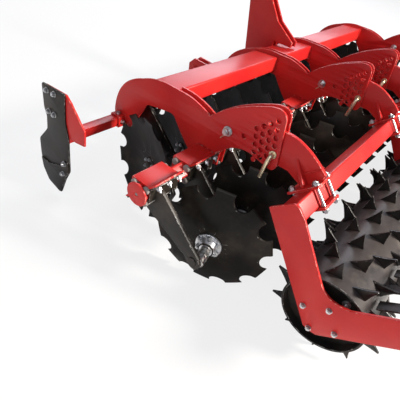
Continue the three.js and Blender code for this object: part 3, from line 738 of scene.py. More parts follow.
def notchedRadius(angle):
    # the dish's edge: full between the bites, and round bites between the teeth
    sector = 2 * math.pi / disc["notches"]
    away = abs((angle / sector + 0.5) % 1 - 0.5) * sector  # from the nearest tooth's middle
    fromBite = sector / 2 - away
    half = sector / 2 - disc["toothHalfAngle"]
    if fromBite >= half:
        return disc["radius"] * math.cos(disc["toothHalfAngle"]) / math.cos(away)
    middle = disc["radius"] * math.cos(half)
    bite = disc["radius"] * math.sin(half)
    reach = math.sqrt(max(bite ** 2 - (middle * math.sin(fromBite)) ** 2, 0))
    return middle * math.cos(fromBite) - reach


def dishDepth(radius):
    if radius <= disc["flatRadius"]:
        return disc["flatDepth"]
    t = (radius - disc["flatRadius"]) / (disc["radius"] - disc["flatRadius"])
    return disc["flatDepth"] + (disc["depth"] - disc["flatDepth"]) * t ** 1.55


def dishMesh():
    shape = bmesh.new()
    angles = []
    sector = 2 * math.pi / disc["notches"]
    for tooth in range(disc["notches"]):
        angles += [tooth * sector + disc["toothHalfAngle"] * k for k in (-1, -0.5, 0, 0.5)]
        first = tooth * sector + disc["toothHalfAngle"]
        span = sector - 2 * disc["toothHalfAngle"]
        angles += [first + span * (0.5 - 0.5 * math.cos(math.pi * k / 14)) for k in range(14)]
    fractions = (0.0, 0.12, 0.26, 0.42, 0.58, 0.74, 0.88, 0.965, 1.0)
    layers = []
    for back in (True, False):
        rings = []
        for fraction in fractions:
            ring = []
            for angle in angles:
                edge = notchedRadius(angle) - (5 if back and fraction == 1.0 else 0)
                radius = 30 + (edge - 30) * fraction
                x = dishDepth(radius) + (0 if back else disc["thickness"])
                if fraction == 1.0 and not back:
                    x -= 1.2
                ring.append(shape.verts.new(
                    Vector((x, -radius * math.sin(angle), -radius * math.cos(angle))) * mm
                ))
            rings.append(ring)
        layers.append(rings)
    count = len(angles)
    for rings in layers:
        for low, high in zip(rings, rings[1:]):
            for i in range(count):
                j = (i + 1) % count
                shape.faces.new((low[i], high[i], high[j], low[j]))
    for inner in (0, len(fractions) - 1):
        first, second = layers[0][inner], layers[1][inner]
        for i in range(count):
            j = (i + 1) % count
            shape.faces.new((first[i], second[i], second[j], first[j]))
    bmesh.ops.recalc_face_normals(shape, faces=shape.faces)
    mesh = bpy.data.meshes.new("dish")
    shape.to_mesh(mesh)
    shape.free()
    return mesh


def hubParts():
    # bearing hub on the bulging side, cover plate on the hollow side, with their fasteners
    back = disc["flatDepth"]
    front = back + disc["thickness"]
    along = Vector((1, 0, 0))
    flange = lathe(
        [(0, 0), (0, 59), (-2, 62), (-10, 62), (-12, 60), (-12, 46), (-15, 43), (-32, 39), (-36, 35),
         (-40, 34), (-44, 31), (-44.5, 0)], along * back * mm, along, 48,
    )
    seal = lathe([(-40, 33), (-38, 36.5), (-44, 36.5), (-45.5, 33)], along * back * mm, along, 40)
    cover = lathe(
        [(0, 50), (3, 50), (5, 48), (5, 27), (7, 25), (11, 23), (13.5, 17), (14, 0)],
        along * front * mm, along, 40,
    )
    spots = []
    for k in range(disc["bolts"]):
        t = 2 * math.pi * (k + 0.5) / disc["bolts"]
        out = Vector((0, math.cos(t), math.sin(t)))
        spots.append((along * (back - 12) * mm + out * 0.0485, -along, 0.92))
        spots.append((along * (front + 5) * mm + out * 0.0385, along, 0.62))
    return [(flange, hubSteel), (cleaned(seal), blackPaint), (cover, discPaint), (boltMesh(spots), zincSteel)]


def makeDiscs():
    dish = dishMesh()
    hub = hubParts()
    for joint in frame["joints"]:
        node = joint["child"]
        if "_disc_" not in node:
            continue
        axis = Vector(joint["axis"])
        turn = Matrix.Rotation(math.atan2(axis.y, axis.x), 4, "Z")
        matrix = Matrix.Translation(Vector(joint["pos_m"])) @ turn
        piece(node + "_dish", [(moved(dish, matrix), discPaint)], node, [node])
        piece(node + "_hub", [(moved(mesh, matrix), finish) for mesh, finish in hub], node)


makeDiscs()
print("discs made")


clamp = {
    "length": 171,
    "inset": 24,
    "pitch": 250,
    "half": 54,
    "sheet": 8,
    "flange": 42,
    "cordRadius": 17,
    "boltPlaces": (-60, 0, 60),
}
arm = {
    "thickness": 18,
    "reach": 300,
    "hubDrop": 276.553 - 475,
    "fromClamp": {"rear": 39.5, "front": 62},
    "spindle": {"rear": 70, "front": 100},
}
beam = {"side": 70, "wall": 8, "capRadius": 54, "capThickness": 8}


def upperClamp(y):
    # top and front sheet in one bend, with both flanges turned out at 45 degrees
    h, s, f = clamp["half"], clamp["sheet"], clamp["flange"] / math.sqrt(2)
    k = s * (math.sqrt(2) - 1)
    return rounded([
        (y - h - f, -h + 11 - f), (y - h, -h + 11), (y - h, h), (y + h - 11, h), (y + h - 11 + f, h + f),
        (y + h - 11 + f + s / 1.414, h + f - s / 1.414), (y + h - 11 + k, h - s), (y - h + s, h - s),
        (y - h + s, -h + 11 - k), (y - h - f + s / 1.414, -h + 11 - f - s / 1.414),
    ], 5)


def lowerClamp(y):
    # bottom and rear sheet, rounded at its outer corner
    h, s, f = clamp["half"], clamp["sheet"], (clamp["flange"] - 5) / math.sqrt(2)
    k = s * (math.sqrt(2) - 1)
    return rounded([
        (y - h + 11 - f, -h - f), (y - h + 11, -h), (y + h - 26, -h), (y + h - 7, -h + 7), (y + h, -h + 26),
        (y + h, h - 11), (y + h + f, h - 11 + f), (y + h + f - s / 1.414, h - 11 + f + s / 1.414),
        (y + h - s, h - 11 + k), (y + h - s, -h + 28), (y + h - 14, -h + 14), (y + h - 28, -h + s),
        (y - h + 11 - k, -h + s), (y - h + 11 - f - s / 1.414, -h - f + s / 1.414),
    ], 4)


def armOutline(y):
    drop = arm["hubDrop"]
    hubY = y + arm["reach"]
    return outline(
        (y - 48, -30), (y - 20, -62), (y - 6, -78, y + 14, -96), (hubY - 44, drop - 2),
        (hubY - 26, drop - 38, hubY + 8, drop - 41), (hubY + 36, drop - 34, hubY + 38, drop - 4),
        (hubY + 38, drop + 12, hubY + 24, drop + 27), (y + 96, 24), (y + 78, 44, y + 56, 44), (y + 40, 44),
        steps=7,
    )


def makeRow(which):
    side = 1 if which == "rear" else -1
    y = 0 if side > 0 else layout["frontBeamY"]
    node = which + "_row_beam"
    half, inner = layout["halfWidth"], layout["beamInnerEnd"]
    x0, x1 = (-inner, half - 8) if side > 0 else (-half + 8, layout["frontBeamEnd"])
    tube = flatPlate(
        square(y, 0, beam["side"], turn=math.pi / 4, corner=9), x0, x1,
        [square(y, 0, beam["side"] - 2 * beam["wall"], turn=math.pi / 4, corner=4)], 1.0,
    )
    capX = half - 8 if side > 0 else -half
    cap = flatPlate(
        circle(y, 0, beam["capRadius"], 56), capX, capX + beam["capThickness"], [circle(y, 0, 8, 20)], 1.4,
    )
    ring = [
        place(capX + (0 if side > 0 else 8), *spot)
        for spot in square(y, 0, beam["side"], turn=math.pi / 4)
    ]
    bead("frame", ring, True)
    red = [(tube, redPaint), (cap, redPaint)]
    black, rubber = [], []
    capFace = half - 3 if side > 0 else -half + 3
    plug = rod(7.6, place(capFace - 5 * side, y, 0), place(capFace + 1.5 * side, y, 0), 20, 1.5)
    rubber.append((plug, greyRubber))
    upper = flatPlate(upperClamp(y), -clamp["length"] / 2, clamp["length"] / 2, bevel=1.0)
    lower = flatPlate(lowerClamp(y), -clamp["length"] / 2, clamp["length"] / 2, bevel=1.0)
    plateShape = armOutline(y)
    armPlate = flatPlate(plateShape, -arm["thickness"] / 2, arm["thickness"] / 2, bevel=1.6)
    cords = [
        rod(clamp["cordRadius"], place(-clamp["length"] / 2 - 12, y + dy, dz),
            place(clamp["length"] / 2 + 12, y + dy, dz), 24, 3)
        for dy, dz in ((-33, 33), (33, 33), (-33, -33), (33, -33))
    ]
    lug = flatPlate(
        rounded([(y + 10, -54), (y + 56, -54), (y + 56, -8), (y + 78, -34), (y + 60, -86), (y + 22, -92)], 8),
        -7, 7, bevel=1.2,
    )
    for i in range(12):
        fromOuter = i if side > 0 else i + 2
        x = half - clamp["inset"] - clamp["length"] / 2 - fromOuter * clamp["pitch"]
        shift = Matrix.Translation((x * mm, 0, 0))
        red.append((moved(upper, shift), redPaint))
        black.append((moved(lower, shift), blackPaint))
        rubber += [(moved(cord, shift), greyRubber) for cord in cords]
        armX = x + arm["fromClamp"][which]
        black.append((moved(armPlate, Matrix.Translation((armX * mm, 0, 0))), blackPaint))
        black.append((moved(lug, Matrix.Translation(((x - 52) * mm, 0, 0))), blackPaint))
        makeSpindle(black, which, side, y, armX)
        flangeOut = clamp["half"] - 11 + clamp["flange"] / math.sqrt(2) * 0.52
        for dx in clamp["boltPlaces"]:
            head = place(x + dx, y + flangeOut, clamp["half"] + 11 + flangeOut - clamp["half"] )
            nut = head + Vector((0, 1, -1)).normalized() * 0.0165
            bolt("frame", nut, (0, 1, -1), 0.9)
            tail = nut + Vector((0, 1, -1)).normalized() * 0.024
            black.append((rod(5, nut, tail, 12, 0.8), wornSteel))
            low = place(x + dx, y - clamp["half"] - 15, -clamp["half"] + 11 - 15)
            bolt("frame", low, (0, -1, 1), 0.86)
            bolt("frame", low + Vector((0, 1, -1)).normalized() * 0.0165, (0, 1, -1), 0.86)
    piece(which + "_beam", red, "frame", [node])
    piece(which + "_arms", black, "frame")
    piece(which + "_cords", rubber, "frame")


def makeSpindle(parts, which, side, y, armX):
    # the bent shaft from the arm to the disc's hub, with the boss that holds it
    gang = math.radians(17)
    axis = Vector((-side * math.cos(gang), -math.sin(gang), 0))
    drop = arm["hubDrop"]
    span = arm["spindle"][which]
    face = place(armX - side * (arm["thickness"] / 2 + span), y + arm["reach"], drop)
    length = span / math.cos(gang) + arm["thickness"] / 2
    start = face - axis * length * mm
    shaft = lathe(
        [
            (0, 0), (0, 21), (2, 23), (length - 52, 23), (length - 47, 26.5), (length - 26, 26.5),
            (length - 22, 24), (length - 5, 24), (length - 1, 21), (length, 0),
        ],
        start, axis, 28,
    )
    parts.append((shaft, wornSteel))
    outer = place(armX + side * arm["thickness"] / 2, y + arm["reach"], drop)
    out = Vector((side, 0, 0))
    parts.append((lathe([(-1, 0), (-1, 21), (3, 21), (5, 19), (5, 0)], outer, out, 28), blackPaint))
    inside = place(armX - side * arm["thickness"] / 2, y + arm["reach"], drop)
    parts.append((lathe([(-1, 0), (-1, 33), (5, 33), (8, 30), (8, 0)], inside, -out, 32), blackPaint))


makeRow("rear")
makeRow("front")
print("rows made")


sidePlate = {
    "thickness": 10,
    "pivot": (82, 188),
    "firstHole": (293, 344),
    "holeDown": (0.19, -0.98),
    "holeAcross": (-0.74, -0.67),
    "holePitch": 36.5,
    "holeRadius": 12,
    "behindBox": -245.4,
    "singleHole": (164.5, 206),
}
boxTie = {"y": -338, "z": 169, "width": 176, "height": 92, "tilt": math.radians(6)}
tubeSeat = {"y": -598, "z": -86, "side": 50}


def sidePlateOutline(hooked=True):
    # the whole plate, or only its rear part that starts behind the box
    front = layout["frontBeamY"]
    rear = [
        (-180, 246), (-100, 240, -30, 207), (62, 313, 246, 387),
        (318, 408, 326, 355), (353, 165), (352, 122, 318, 126), (218, 146), (120, 146, 70, 66), (68, -10),
        (50.1, -10), (50.1, 0), (0, 50.1), (-50.1, 0), (-50.1, -10), (-104, -24), (-175, 35, -226, 100),
    ]
    if not hooked:
        return outline((sidePlate["behindBox"], 246), *rear, (sidePlate["behindBox"], 114), steps=12)
    return outline(
        (front + 22, -136), (front - 92, -142, front - 86, -40), (front - 72, 140, front + 100, 200),
        (front + 190, 245, front + 280, 245), *rear,
        (-236, 113, -262, 112), (front + 165, 84), (front + 146, 78, front + 138, 50), (front + 40, -122),
        steps=12,
    )


def depthHoles():
    holes = []
    first = Vector(sidePlate["firstHole"])
    down = Vector(sidePlate["holeDown"]) * sidePlate["holePitch"]
    across = Vector(sidePlate["holeAcross"]) * sidePlate["holePitch"]
    for column in range(4):
        holes += [first + across * column + down * line for line in range(5)]
    return holes


def plateHoles(withTube, withBeam=True):
    holes = [circle(*sidePlate["pivot"], 15.4, 28), circle(*sidePlate["singleHole"], sidePlate["holeRadius"])]
    if withBeam:
        holes.append(square(layout["frontBeamY"], 0, 70.6, turn=math.pi / 4, corner=6))
    holes += [circle(spot.x, spot.y, sidePlate["holeRadius"]) for spot in depthHoles()]
    if withTube:
        holes.append(square(tubeSeat["y"], tubeSeat["z"], 51, corner=3))
    return holes


def makeSidePlates():
    shape = sidePlateOutline()
    plain = flatPlate(shape, -5, 5, plateHoles(False))
    outermost = flatPlate(shape, -5, 5, plateHoles(True, False))
    behindBox = flatPlate(sidePlateOutline(False), -5, 5, plateHoles(False, False))
    pinHole = depthHoles()[4]
    names = (("left_outer", 1), ("left_inner", 1), ("right_inner", -1), ("right_outer", -1))
    for name, sign in names:
        pair = layout["outerPlates"] if "outer" in name else layout["innerPlates"]
        x = sign * pair
        steel = []
        for which, offset in (("outer", 20 * sign), ("inner", -20 * sign)):
            source = outermost if (name, which) == ("left_outer", "outer") else plain
            short = "outer" in name and which == "inner"
            if short:
                source = behindBox
            parts = [(moved(source, Matrix.Translation(((x + offset) * mm, 0, 0))), redPaint)]
            node = f"side_plate_{name}_{which}"
            if name == "left_outer" and which == "outer":
                parts.append((flatPlate(
                    square(tubeSeat["y"], tubeSeat["z"], 67, corner=7), x + 25, x + 75,
                    [square(tubeSeat["y"], tubeSeat["z"], 51, corner=3)], 1.2,
                ), redPaint))
                ring = [place(x + 25.5, *spot) for spot in square(tubeSeat["y"], tubeSeat["z"], 67)]
                bead("frame", ring, True)
                bolt("frame", place(x + 50, tubeSeat["y"] + 33.5, tubeSeat["z"]), (0, 1, 0), 0.9)
                bolt("frame", place(x + 50, tubeSeat["y"], tubeSeat["z"] + 33.5), (0, 0, 1), 0.9)
            piece(node + "_cut", parts, "frame", [node])
            rearOnly = short or (name, which) == ("left_outer", "outer")
            for beamY in (0,) if rearOnly else (0, layout["frontBeamY"]):
                outward = 1 if offset * sign > 0 else -1
                faceX = x + offset + 5.5 * outward * sign
                half = 70 / math.sqrt(2) + 1
                ring = [(beamY + half, -8), (beamY, half), (beamY - half, -8)]
                bead("frame", [place(faceX, *spot) for spot in ring])
        for spread in (25.3, -25.3):
            steel.append((lathe(
                [(0, 0), (0, 17), (1, 18), (6, 18), (7, 17), (7, 0)],
                place(x + spread, *pinHole), (math.copysign(1, spread), 0, 0), 24,
            ), yellowZinc))
        start = place(x - 42, *pinHole)
        turnAt = place(x + 44, *pinHole)
        low = place(x + 52, pinHole.x - 5, pinHole.y - 36)
        end = place(x + 56, pinHole.x - 12, pinHole.y - 112)
        steel.append((bentRod(smoothPath([start, turnAt, low, end]), 10.2, 14), yellowZinc))
        clip = [
            place(x - 36, pinHole.x + dy, pinHole.y + dz)
            for dy, dz in ((0, 24), (0, -20), (9, -26), (14, -8))
        ]
        steel.append((bentRod(smoothPath(clip), 2.2, 8), zincSteel))
        piece(f"depth_pin_{name}", steel, "frame")


def makeTies():
    for name in ("left", "middle", "right"):
        node = "box_tie_" + name
        low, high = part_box(node)
        x0, x1 = low.x / mm, high.x / mm
        tube = flatPlate(
            square(boxTie["y"], boxTie["z"], boxTie["width"], boxTie["height"], boxTie["tilt"], 12), x0, x1,
            [square(
                boxTie["y"], boxTie["z"], boxTie["width"] - 16, boxTie["height"] - 16, boxTie["tilt"], 5,
            )],
        )
        piece(node + "_tube", [(tube, redPaint)], "frame", [node])
        ring = square(boxTie["y"], boxTie["z"], boxTie["width"] + 2, boxTie["height"] + 2, boxTie["tilt"])
        bead("frame", [place(x0 + 2, *spot) for spot in ring], True)
        bead("frame", [place(x1 - 2, *spot) for spot in ring], True)


makeSidePlates()
makeTies()
print("side plates made")


def makeHeadstock():
    for node in ("headstock_mast", "lower_hitch_left", "lower_hitch_right"):
        piece(node + "_welded", [(softened(node, 2.0), redPaint)], "frame", [node])
    for sign in (1, -1):
        for x in (497 * sign - 35, 497 * sign + 35):
            outward = math.copysign(1, x - 497 * sign)
            bolt("frame", place(x, -650, 20), (outward, 0, 0), 1.1)
            bolt("frame", place(x, -650, -25), (outward, 0, 0), 1.1)


deflector = {
    "blade": [
        (-138, 155), (36, 168), (32, 20), (54, -62), (56, -262), (18, -335), (-28, -455),
        (-132, -428), (-178, -360), (-192, -278), (-194, -182), (-118, -88), (-114, -10), (-132, 26),
    ],
    "wearPart": [
        (50, -196), (50, -262), (14, -338), (-30, -448), (-128, -422), (-172, -358), (-185, -292),
        (-120, -300),
        (0, -250),
    ],
    "bolts": [(-97, 131), (-40, 136), (-90, 25), (-47, 25), (22, -224), (8, -296)],
}


def makeDeflectors():
    for name, side in (("left", 1), ("right", -1)):
        body = "deflector_" + name
        armNode, bladeNode = "deflector_arm_" + name, "deflector_blade_" + name
        low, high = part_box(bladeNode)
        middle = (low.x + high.x) / 2 / mm
        turn = Matrix.Rotation(0 if side > 0 else math.pi, 4, "Z")
        originY = tubeSeat["y"] if side > 0 else 0
        origin = Matrix.Translation((0, (originY + layout["shiftY"]) * mm, 0))
        lift = Matrix.Translation((0, -layout["shiftY"] * mm, 0))
        across = abs(middle)

        def put(mesh):
            return moved(mesh, origin @ turn @ lift)

        blade = flatPlate(rounded(deflector["blade"], 14), across - 4, across + 4, bevel=1.4)
        wear = flatPlate(rounded(deflector["wearPart"], 12), across + 4.2, across + 10.2, bevel=1.2)
        piece(
            bladeNode + "_bent", [(put(blade), blackPaint), (put(wear), blackPaint)], body,
            [bladeNode],
        )
        piece(armNode + "_welded", [(softened(armNode, 1.6), redPaint)], body, [armNode])
        matrix = origin @ turn @ lift
        out = turn.to_3x3() @ Vector((1, 0, 0))
        for y, z in deflector["bolts"]:
            spot = matrix @ place(across + (4 if z > 0 else 10.2), y, z)
            bolt(body, spot, out, 0.95)


makeHeadstock()
makeDeflectors()
print("hitch and deflectors made")


roller = {
    "axisY": 830,
    "tip": 255,
    "tipInset": 0.6,  # keeps the points off the ground
    "drum": 182,
    "wall": 9,
    "recess": 45,
    "shaft": 30,
    "rings": 12,
    "ringPitch": 117,
    "teeth": 10,
    "toothPlate": 10,
    "toothBase": 80,
    "sweep": math.radians(7),
    "beamY": 541,
    "beamZ": 117,
    "plate": 12,
    "shaftReach": 22,  # beyond the drum's ends
}
bearing = {"flange": 112, "height": 14, "boltSpread": 56, "boltTurn": math.radians(35)}
rollerZ = roller["tip"] * math.cos(math.pi / 2 / roller["teeth"]) - layout["shiftZ"]


def toothTree(tooth):
    # rings of teeth along the drum, every other ring turned half a pitch
    graph, given = newTree("toothRings", [
        ("Rings", "NodeSocketInt"), ("Ring Pitch", "NodeSocketFloat"), ("Teeth", "NodeSocketInt"),
        ("First", "NodeSocketFloat"),
    ])
    count = graph.node("ShaderNodeMath", {"operation": "MULTIPLY"}, {0: given["Rings"], 1: given["Teeth"]})
    points = graph.node("GeometryNodePoints", None, {"Count": count})
    index = graph.node("GeometryNodeInputIndex")
    ring = (index / given["Teeth"] + 0.001).floor()
    step = index - ring * given["Teeth"]
    odd = ring % 2.0
    pitch = graph.node("ShaderNodeMath", {"operation": "DIVIDE"}, {0: 2 * math.pi, 1: given["Teeth"]})
    angle = step * pitch + (odd - 0.5) * pitch * 0.5
    spot = graph.node("ShaderNodeCombineXYZ", None, {0: given["First"] + ring * given["Ring Pitch"]})
    spin = graph.node("ShaderNodeCombineXYZ", None, {0: angle})
    laid = graph.node("GeometryNodeSetPosition", None, {"Geometry": points, "Position": spot})
    source = graph.node("GeometryNodeObjectInfo", None, {"Object": tooth}, out=4)
    turn = graph.node("FunctionNodeEulerToRotation", None, {0: spin})
    placed = graph.node(
        "GeometryNodeInstanceOnPoints", None, {"Points": laid, "Instance": source, "Rotation": turn},
    )
    return closeTree(graph, placed, rollerPaint)


def toothObject():
    # one pointed plate, pointing down from the drum's axis at the origin
    seat = roller["drum"] - 5
    half = math.asin(roller["toothBase"] / 2 / seat)
    tip, sweep = roller["tip"] - roller["tipInset"], roller["sweep"]

    def at(radius, turn):
        return (radius * math.sin(turn), -radius * math.cos(turn))

    base0, base1 = Vector(at(seat, -half + sweep)), Vector(at(seat, half + sweep))
    end = Vector(at(tip, 0))
    mid0 = (base0 + end) / 2 + Vector((3, 0))
    mid1 = (base1 + end) / 2 + Vector((-5, 2))
    points = outline(
        tuple(base0), (*mid0, end.x - 1.5, end.y), (end.x + 1.5, end.y), (*mid1, *base1), steps=4,
    )
    mesh = flatPlate(points, -roller["toothPlate"] / 2, roller["toothPlate"] / 2, bevel=0.8)
    mesh.transform(Matrix.Translation((0, -layout["shiftY"] * mm, -layout["shiftZ"] * mm)))
    tooth = bpy.data.objects.new("toothPattern", mesh)
    scene.collection.objects.link(tooth)
    return tooth


def makeDrums():
    tooth = toothObject()
    tree = toothTree(tooth)
    for name, side in (("left", 1), ("right", -1)):
        node, body = "spiked_roller_" + name, "roller_" + name
        inner, outer = 68, 1464.5
        x0, x1 = (inner, outer) if side > 0 else (-outer, -inner)
        first = (x0 + x1) / 2 - (roller["rings"] - 1) / 2 * roller["ringPitch"]
        base = bpy.data.meshes.new("none")
        teeth = grown(base, tree, {
            "Rings": roller["rings"], "Ring Pitch": roller["ringPitch"] * mm, "Teeth": roller["teeth"],
            "First": first * mm,
        })
        axis = place(0, roller["axisY"], rollerZ)
        teeth.transform(Matrix.Translation(axis))
        r, w, deep = roller["drum"], roller["wall"], roller["recess"]
        length = x1 - x0
        drum = lathe([
            (deep, roller["shaft"]), (deep, r - w), (1, r - w), (0, r - w + 1), (0, r - 1), (1, r),
            (length - 1, r), (length, r - 1), (length, r - w + 1), (length - 1, r - w),
            (length - deep, r - w),
            (length - deep, roller["shaft"]),
        ], axis + Vector((x0 * mm, 0, 0)), (1, 0, 0), 72)
        reach = deep + 4 + roller["shaftReach"]
        shafts = []
        for at, out in ((x0, -1), (x1, 1)):
            start = axis + Vector(((at - out * (deep + 6)) * mm, 0, 0))
            shafts.append(lathe([
                (0, roller["shaft"]), (reach, roller["shaft"]), (reach + 2, roller["shaft"] - 2),
                (reach + 2, 9),
                (reach - 3, 7), (reach - 3, 0),
            ], start, (out, 0, 0), 32))
            for k in range(3):
                t = 2 * math.pi * (k + 0.5) / 3
                spot = axis + Vector(((at - out * deep) * mm, 0.105 * math.cos(t), 0.105 * math.sin(t)))
                bolt(body, spot, (out, 0, 0), 1.2)
        parts = [(teeth, rollerPaint), (drum, drumPaint)] + [(shaft, wornSteel) for shaft in shafts]
        made = piece(node + "_toothed", parts, body, [node])
        paints = [slot.material for slot in made.material_slots]
        dusty, dark = paints.index(drumPaint), paints.index(rollerPaint)
        # the outer skin keeps the lighter lit-and-dusty paint, which is painted light with dust; the drum's
        # ends and the insides of its recesses take the darker roller paint, which is painted shade
        for face in made.data.polygons:
            away = (face.center - axis).yz.length
            if face.material_index == dusty and (abs(face.normal.x) > 0.5 or away < (r - w / 2) * mm):
                face.material_index = dark
    bpy.data.objects.remove(tooth)


def endOutline():
    y, z = roller["axisY"], rollerZ
    beamY, beamZ = roller["beamY"], roller["beamZ"]
    barY, barZ = 1128, 14
    return outline(
        (beamY - 80, beamZ + 7), (beamY - 74, beamZ + 14), (beamY - 8, beamZ + 74),
        (beamY + 11, beamZ + 90, beamY + 28, beamZ + 76), (beamY + 62, beamZ + 46), (y - 62, z + 168),
        (y - 26, z + 122, y + 30, z + 128), (y + 75, z + 139), (barY + 14, barZ + 78), (barY + 66, barZ + 46),
        (barY + 52, barZ - 48), (y + 24, z - 89), (y + 10, z - 93, y - 6, z - 92), (y - 38, z - 88),
        steps=9,
    )


def makeEnds():
    y, z = roller["axisY"], rollerZ
    for name, side in (("left", 1), ("right", -1)):
        for which, at, inward in (("outer", 1484.5, -1), ("inner", 48, 1)):
            node = f"roller_end_{name}_{which}"
            body = "roller_frame_" + name
            x = side * at
            out = -inward * side
            layers = []
            for shape, ends, holes in (
                (endOutline(), (-6, 4.5), [circle(y, z, 31, 36)]), (endOutline(), (2.8, 6), ()),
                (
                    rounded(square(y, z, bearing["flange"]), 12),
                    (-6 - bearing["height"], -6), [circle(y, z, 31, 36)],
                ),
            ):
                f0, f1 = sorted((x + out * ends[0], x + out * ends[1]))
                layers.append((flatPlate(shape, f0, f1, holes, 1.4), redPaint))
            piece(node + "_plate", layers, body, [node])
            for k in range(4):
                t = bearing["boltTurn"] + (k + 0.5) * math.pi / 2
                spread = bearing["boltSpread"] * math.sqrt(2)
                by, bz = y + spread * math.cos(t), z + spread * math.sin(t)
                bolt(body, place(x + out * 6, by, bz), (out, 0, 0), 0.85)
                bolt(body, place(x - out * 6, by, bz), (-out, 0, 0), 0.85)


rollerArm = {
    "thickness": 19.4,
    "baseHalf": (68, 74),
    "boltInset": (18, 19),
    "outline": [
        (42, 178), (54, 220), (70, 238, 90, 236), (190, 272), (210, 282, 250, 296), (329, 318, 396, 305),
        (470, 288, 552, 224), (549, 195), (477, 123), (400, 156), (240, 152), (150, 152, 82, 146),
        (58, 148, 52, 154),
    ],
}


def turnedBlock(x, widths, along, up, bevel=1.5, centre=None):
    # a block square to the diamond-set roller beam
    y0, z0 = centre or (roller["beamY"], roller["beamZ"])
    c = math.sqrt(0.5)
    points = [(along[0], up[0]), (along[1], up[0]), (along[1], up[1]), (along[0], up[1])]
    points = [(y0 + a * c - b * c, z0 + a * c + b * c) for a, b in points]
    return flatPlate(rounded(points, 4), x + widths[0], x + widths[1], bevel=bevel)


scraper = {"y": 1128, "z": 14, "side": 60, "width": 54, "thickness": 8, "clearance": 7}


def scraperParts(x0, x1):
    # square tube with a blade between each pair of rings
    y, z = scraper["y"], scraper["z"]
    tube = flatPlate(
        square(y, z, scraper["side"], turn=math.pi / 4, corner=6), x0, x1,
        [square(y, z, scraper["side"] - 12, turn=math.pi / 4, corner=3)], 1.0,
    )
    axis = Vector((roller["axisY"], rollerZ))
    toBar = Vector((y, z)) - axis
    far = toBar.length - scraper["side"] / 2 + 3
    near = roller["drum"] + scraper["clearance"]
    toBar.normalize()
    across = Vector((-toBar.y, toBar.x)) * scraper["thickness"] / 2
    points = [
        axis + toBar * near - across * 0.3, axis + toBar * (near + 14) - across,
        axis + toBar * far - across,
              axis + toBar * far + across, axis + toBar * near + across]
    blade = flatPlate(points, -scraper["width"] / 2, scraper["width"] / 2, bevel=0.9)
    middle = (x0 + x1) / 2
    parts = [(tube, redPaint)]
    for i in range(roller["rings"] - 1):
        x = middle + (i - (roller["rings"] - 2) / 2) * roller["ringPitch"]
        parts.append((moved(blade, Matrix.Translation((x * mm, 0, 0))), blackPaint))
    return parts


def prism(points, depth):
    # a flat shape given by its corners, thickened along depth
    shape = bmesh.new()
    low = [shape.verts.new(point) for point in points]
    high = [shape.verts.new(Vector(point) + depth) for point in points]
    shape.faces.new(low)
    shape.faces.new(reversed(high))
    for i in range(len(points)):
        j = (i + 1) % len(points)
        shape.faces.new((low[i], high[i], high[j], low[j]))
    bmesh.ops.recalc_face_normals(shape, faces=shape.faces)
    bmesh.ops.bevel(
        shape, geom=list(shape.edges), offset=1.3 * mm, segments=2, profile=0.6, affect="EDGES",
        clamp_overlap=True,
    )
    mesh = bpy.data.meshes.new("prism")
    shape.to_mesh(mesh)
    shape.free()
    return mesh


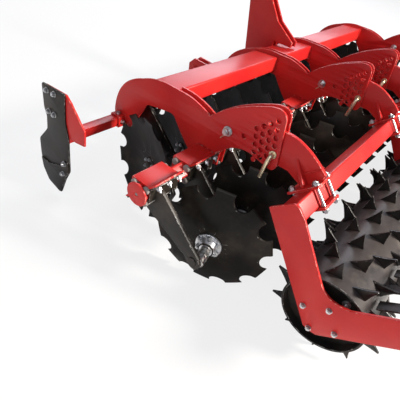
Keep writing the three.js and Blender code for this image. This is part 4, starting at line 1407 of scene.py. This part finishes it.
def makeRollerArms():
    half = 40.3
    c = math.sqrt(0.5)
    upward = Vector((0, -c, c))
    along = Vector((0, c, c))
    for name, side in (("left", 1), ("right", -1)):
        body = "roller_frame_" + name
        for which, at in (("outer", layout["outerPlates"]), ("inner", layout["innerPlates"])):
            node = f"roller_arm_{name}_{which}"
            x = side * at
            t = rollerArm["thickness"] / 2
            web = flatPlate(outline(*rollerArm["outline"], steps=9), x - t, x + t, bevel=1.6)
            w, long = rollerArm["baseHalf"]
            base = turnedBlock(x, (-w, w), (-long, long), (half, half + 12))
            keeper = turnedBlock(x, (-w, w), (-long + 6, long - 6), (-half - 12, -half))
            parts = [(web, redPaint), (base, redPaint), (keeper, redPaint)]
            foot = place(x, roller["beamY"], roller["beamZ"]) + upward * (half + 11) * mm - along * 0.012
            for out in (-1, 1):
                wall = foot + Vector((out * (t - 1) * mm, 0, 0))
                corners = [
                    wall, wall + Vector((out * 0.044, 0, 0)),
                    wall + Vector((out * 0.044, 0, 0)) + upward * 0.012,
                           wall + Vector((out * 0.006, 0, 0)) + upward * 0.112, wall + upward * 0.112]
                parts.append((prism(corners, along * 0.012), redPaint))
            y, z = sidePlate["pivot"]
            boss = lathe(
                [(-14.7, 0), (-14.7, 24), (-12.7, 26), (12.7, 26), (14.7, 24), (14.7, 0)],
                place(x, y, z), (1, 0, 0),
            )
            parts.append((boss, redPaint))
            steel = []
            reach = 34.3
            pin = lathe([
                (-reach - 14, 0), (-reach - 14, 9), (-reach - 12, 12), (-reach, 12), (-reach + 0.2, 15),
                (reach, 15),
                (reach + 0.1, 11), (reach + 12, 11), (reach + 14, 9), (reach + 14, 0),
            ], place(x, y, z), (1, 0, 0), 28)
            steel.append((pin, zincSteel))
            for out in (-1, 1):
                steel.append((lathe(
                    [(25.4, 15), (25.4, 24), (29, 24), (30, 23), (30, 15)], place(x, y, z), (out, 0, 0), 32,
                ), zincSteel))
                bolt(body, place(x + out * 30, y, z), (out, 0, 0), 1.35)
            steel.append((bentRod(smoothPath([
                place(x + side * 47, y - 3, z + 20), place(x + side * 47, y, z - 14),
                place(x + side * 49, y - 16, z - 34),
            ]), 2.4, 8), yellowZinc))
            middle = place(x, roller["beamY"], roller["beamZ"])
            inset = rollerArm["boltInset"]
            for dx in (-w + inset[0], w - inset[0]):
                for step in (-long + inset[1], long - inset[1]):
                    foot = middle + Vector((dx * mm, 0, 0)) + along * step * mm
                    low, high = foot - upward * 0.0645, foot + upward * 0.0545
                    steel.append((rod(8, low, high, 16), zincSteel))
                    bolt(body, foot + upward * 0.0523, upward, 1.05)
                    bolt(body, foot - upward * 0.0523, -upward, 1.05)
            piece(node + "_welded", parts, body, [node])
            piece(f"roller_arm_{name}_{which}_fasteners", steel, body)
            for out in (-1, 1):
                bead(body, [place(x + out * (t + 1), *spot) for spot in ((452, 168), (526, 242))])
        for kind in ("roller_beam_", "scraper_bar_"):
            node = kind + name
            low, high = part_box(node)
            if kind == "roller_beam_":
                outer = square(roller["beamY"], roller["beamZ"], 80, turn=math.pi / 4, corner=9)
                inner = square(roller["beamY"], roller["beamZ"], 64, turn=math.pi / 4, corner=4)
                mesh = flatPlate(outer, low.x / mm, high.x / mm, [inner], 1.0)
                for x in (low.x / mm + 1, high.x / mm - 1):
                    ring = square(roller["beamY"], roller["beamZ"], 81, turn=math.pi / 4)
                    bead(body, [place(x, *spot) for spot in ring], True)
                parts = [(mesh, redPaint)]
            else:
                parts = scraperParts(low.x / mm, high.x / mm)
            piece(node + "_tube", parts, body, [node])


makeDrums()
makeEnds()
makeRollerArms()
print("roller made")


for bodyName, spots in boltSpots.items():
    piece(bodyName + "_bolts", [(boltMesh(spots), zincSteel)], bodyName)
for bodyName, paths in beadPaths.items():
    piece(bodyName + "_welds", [(beadMesh(paths), redPaint)], bodyName, angle=70)
print("fasteners and seams made")
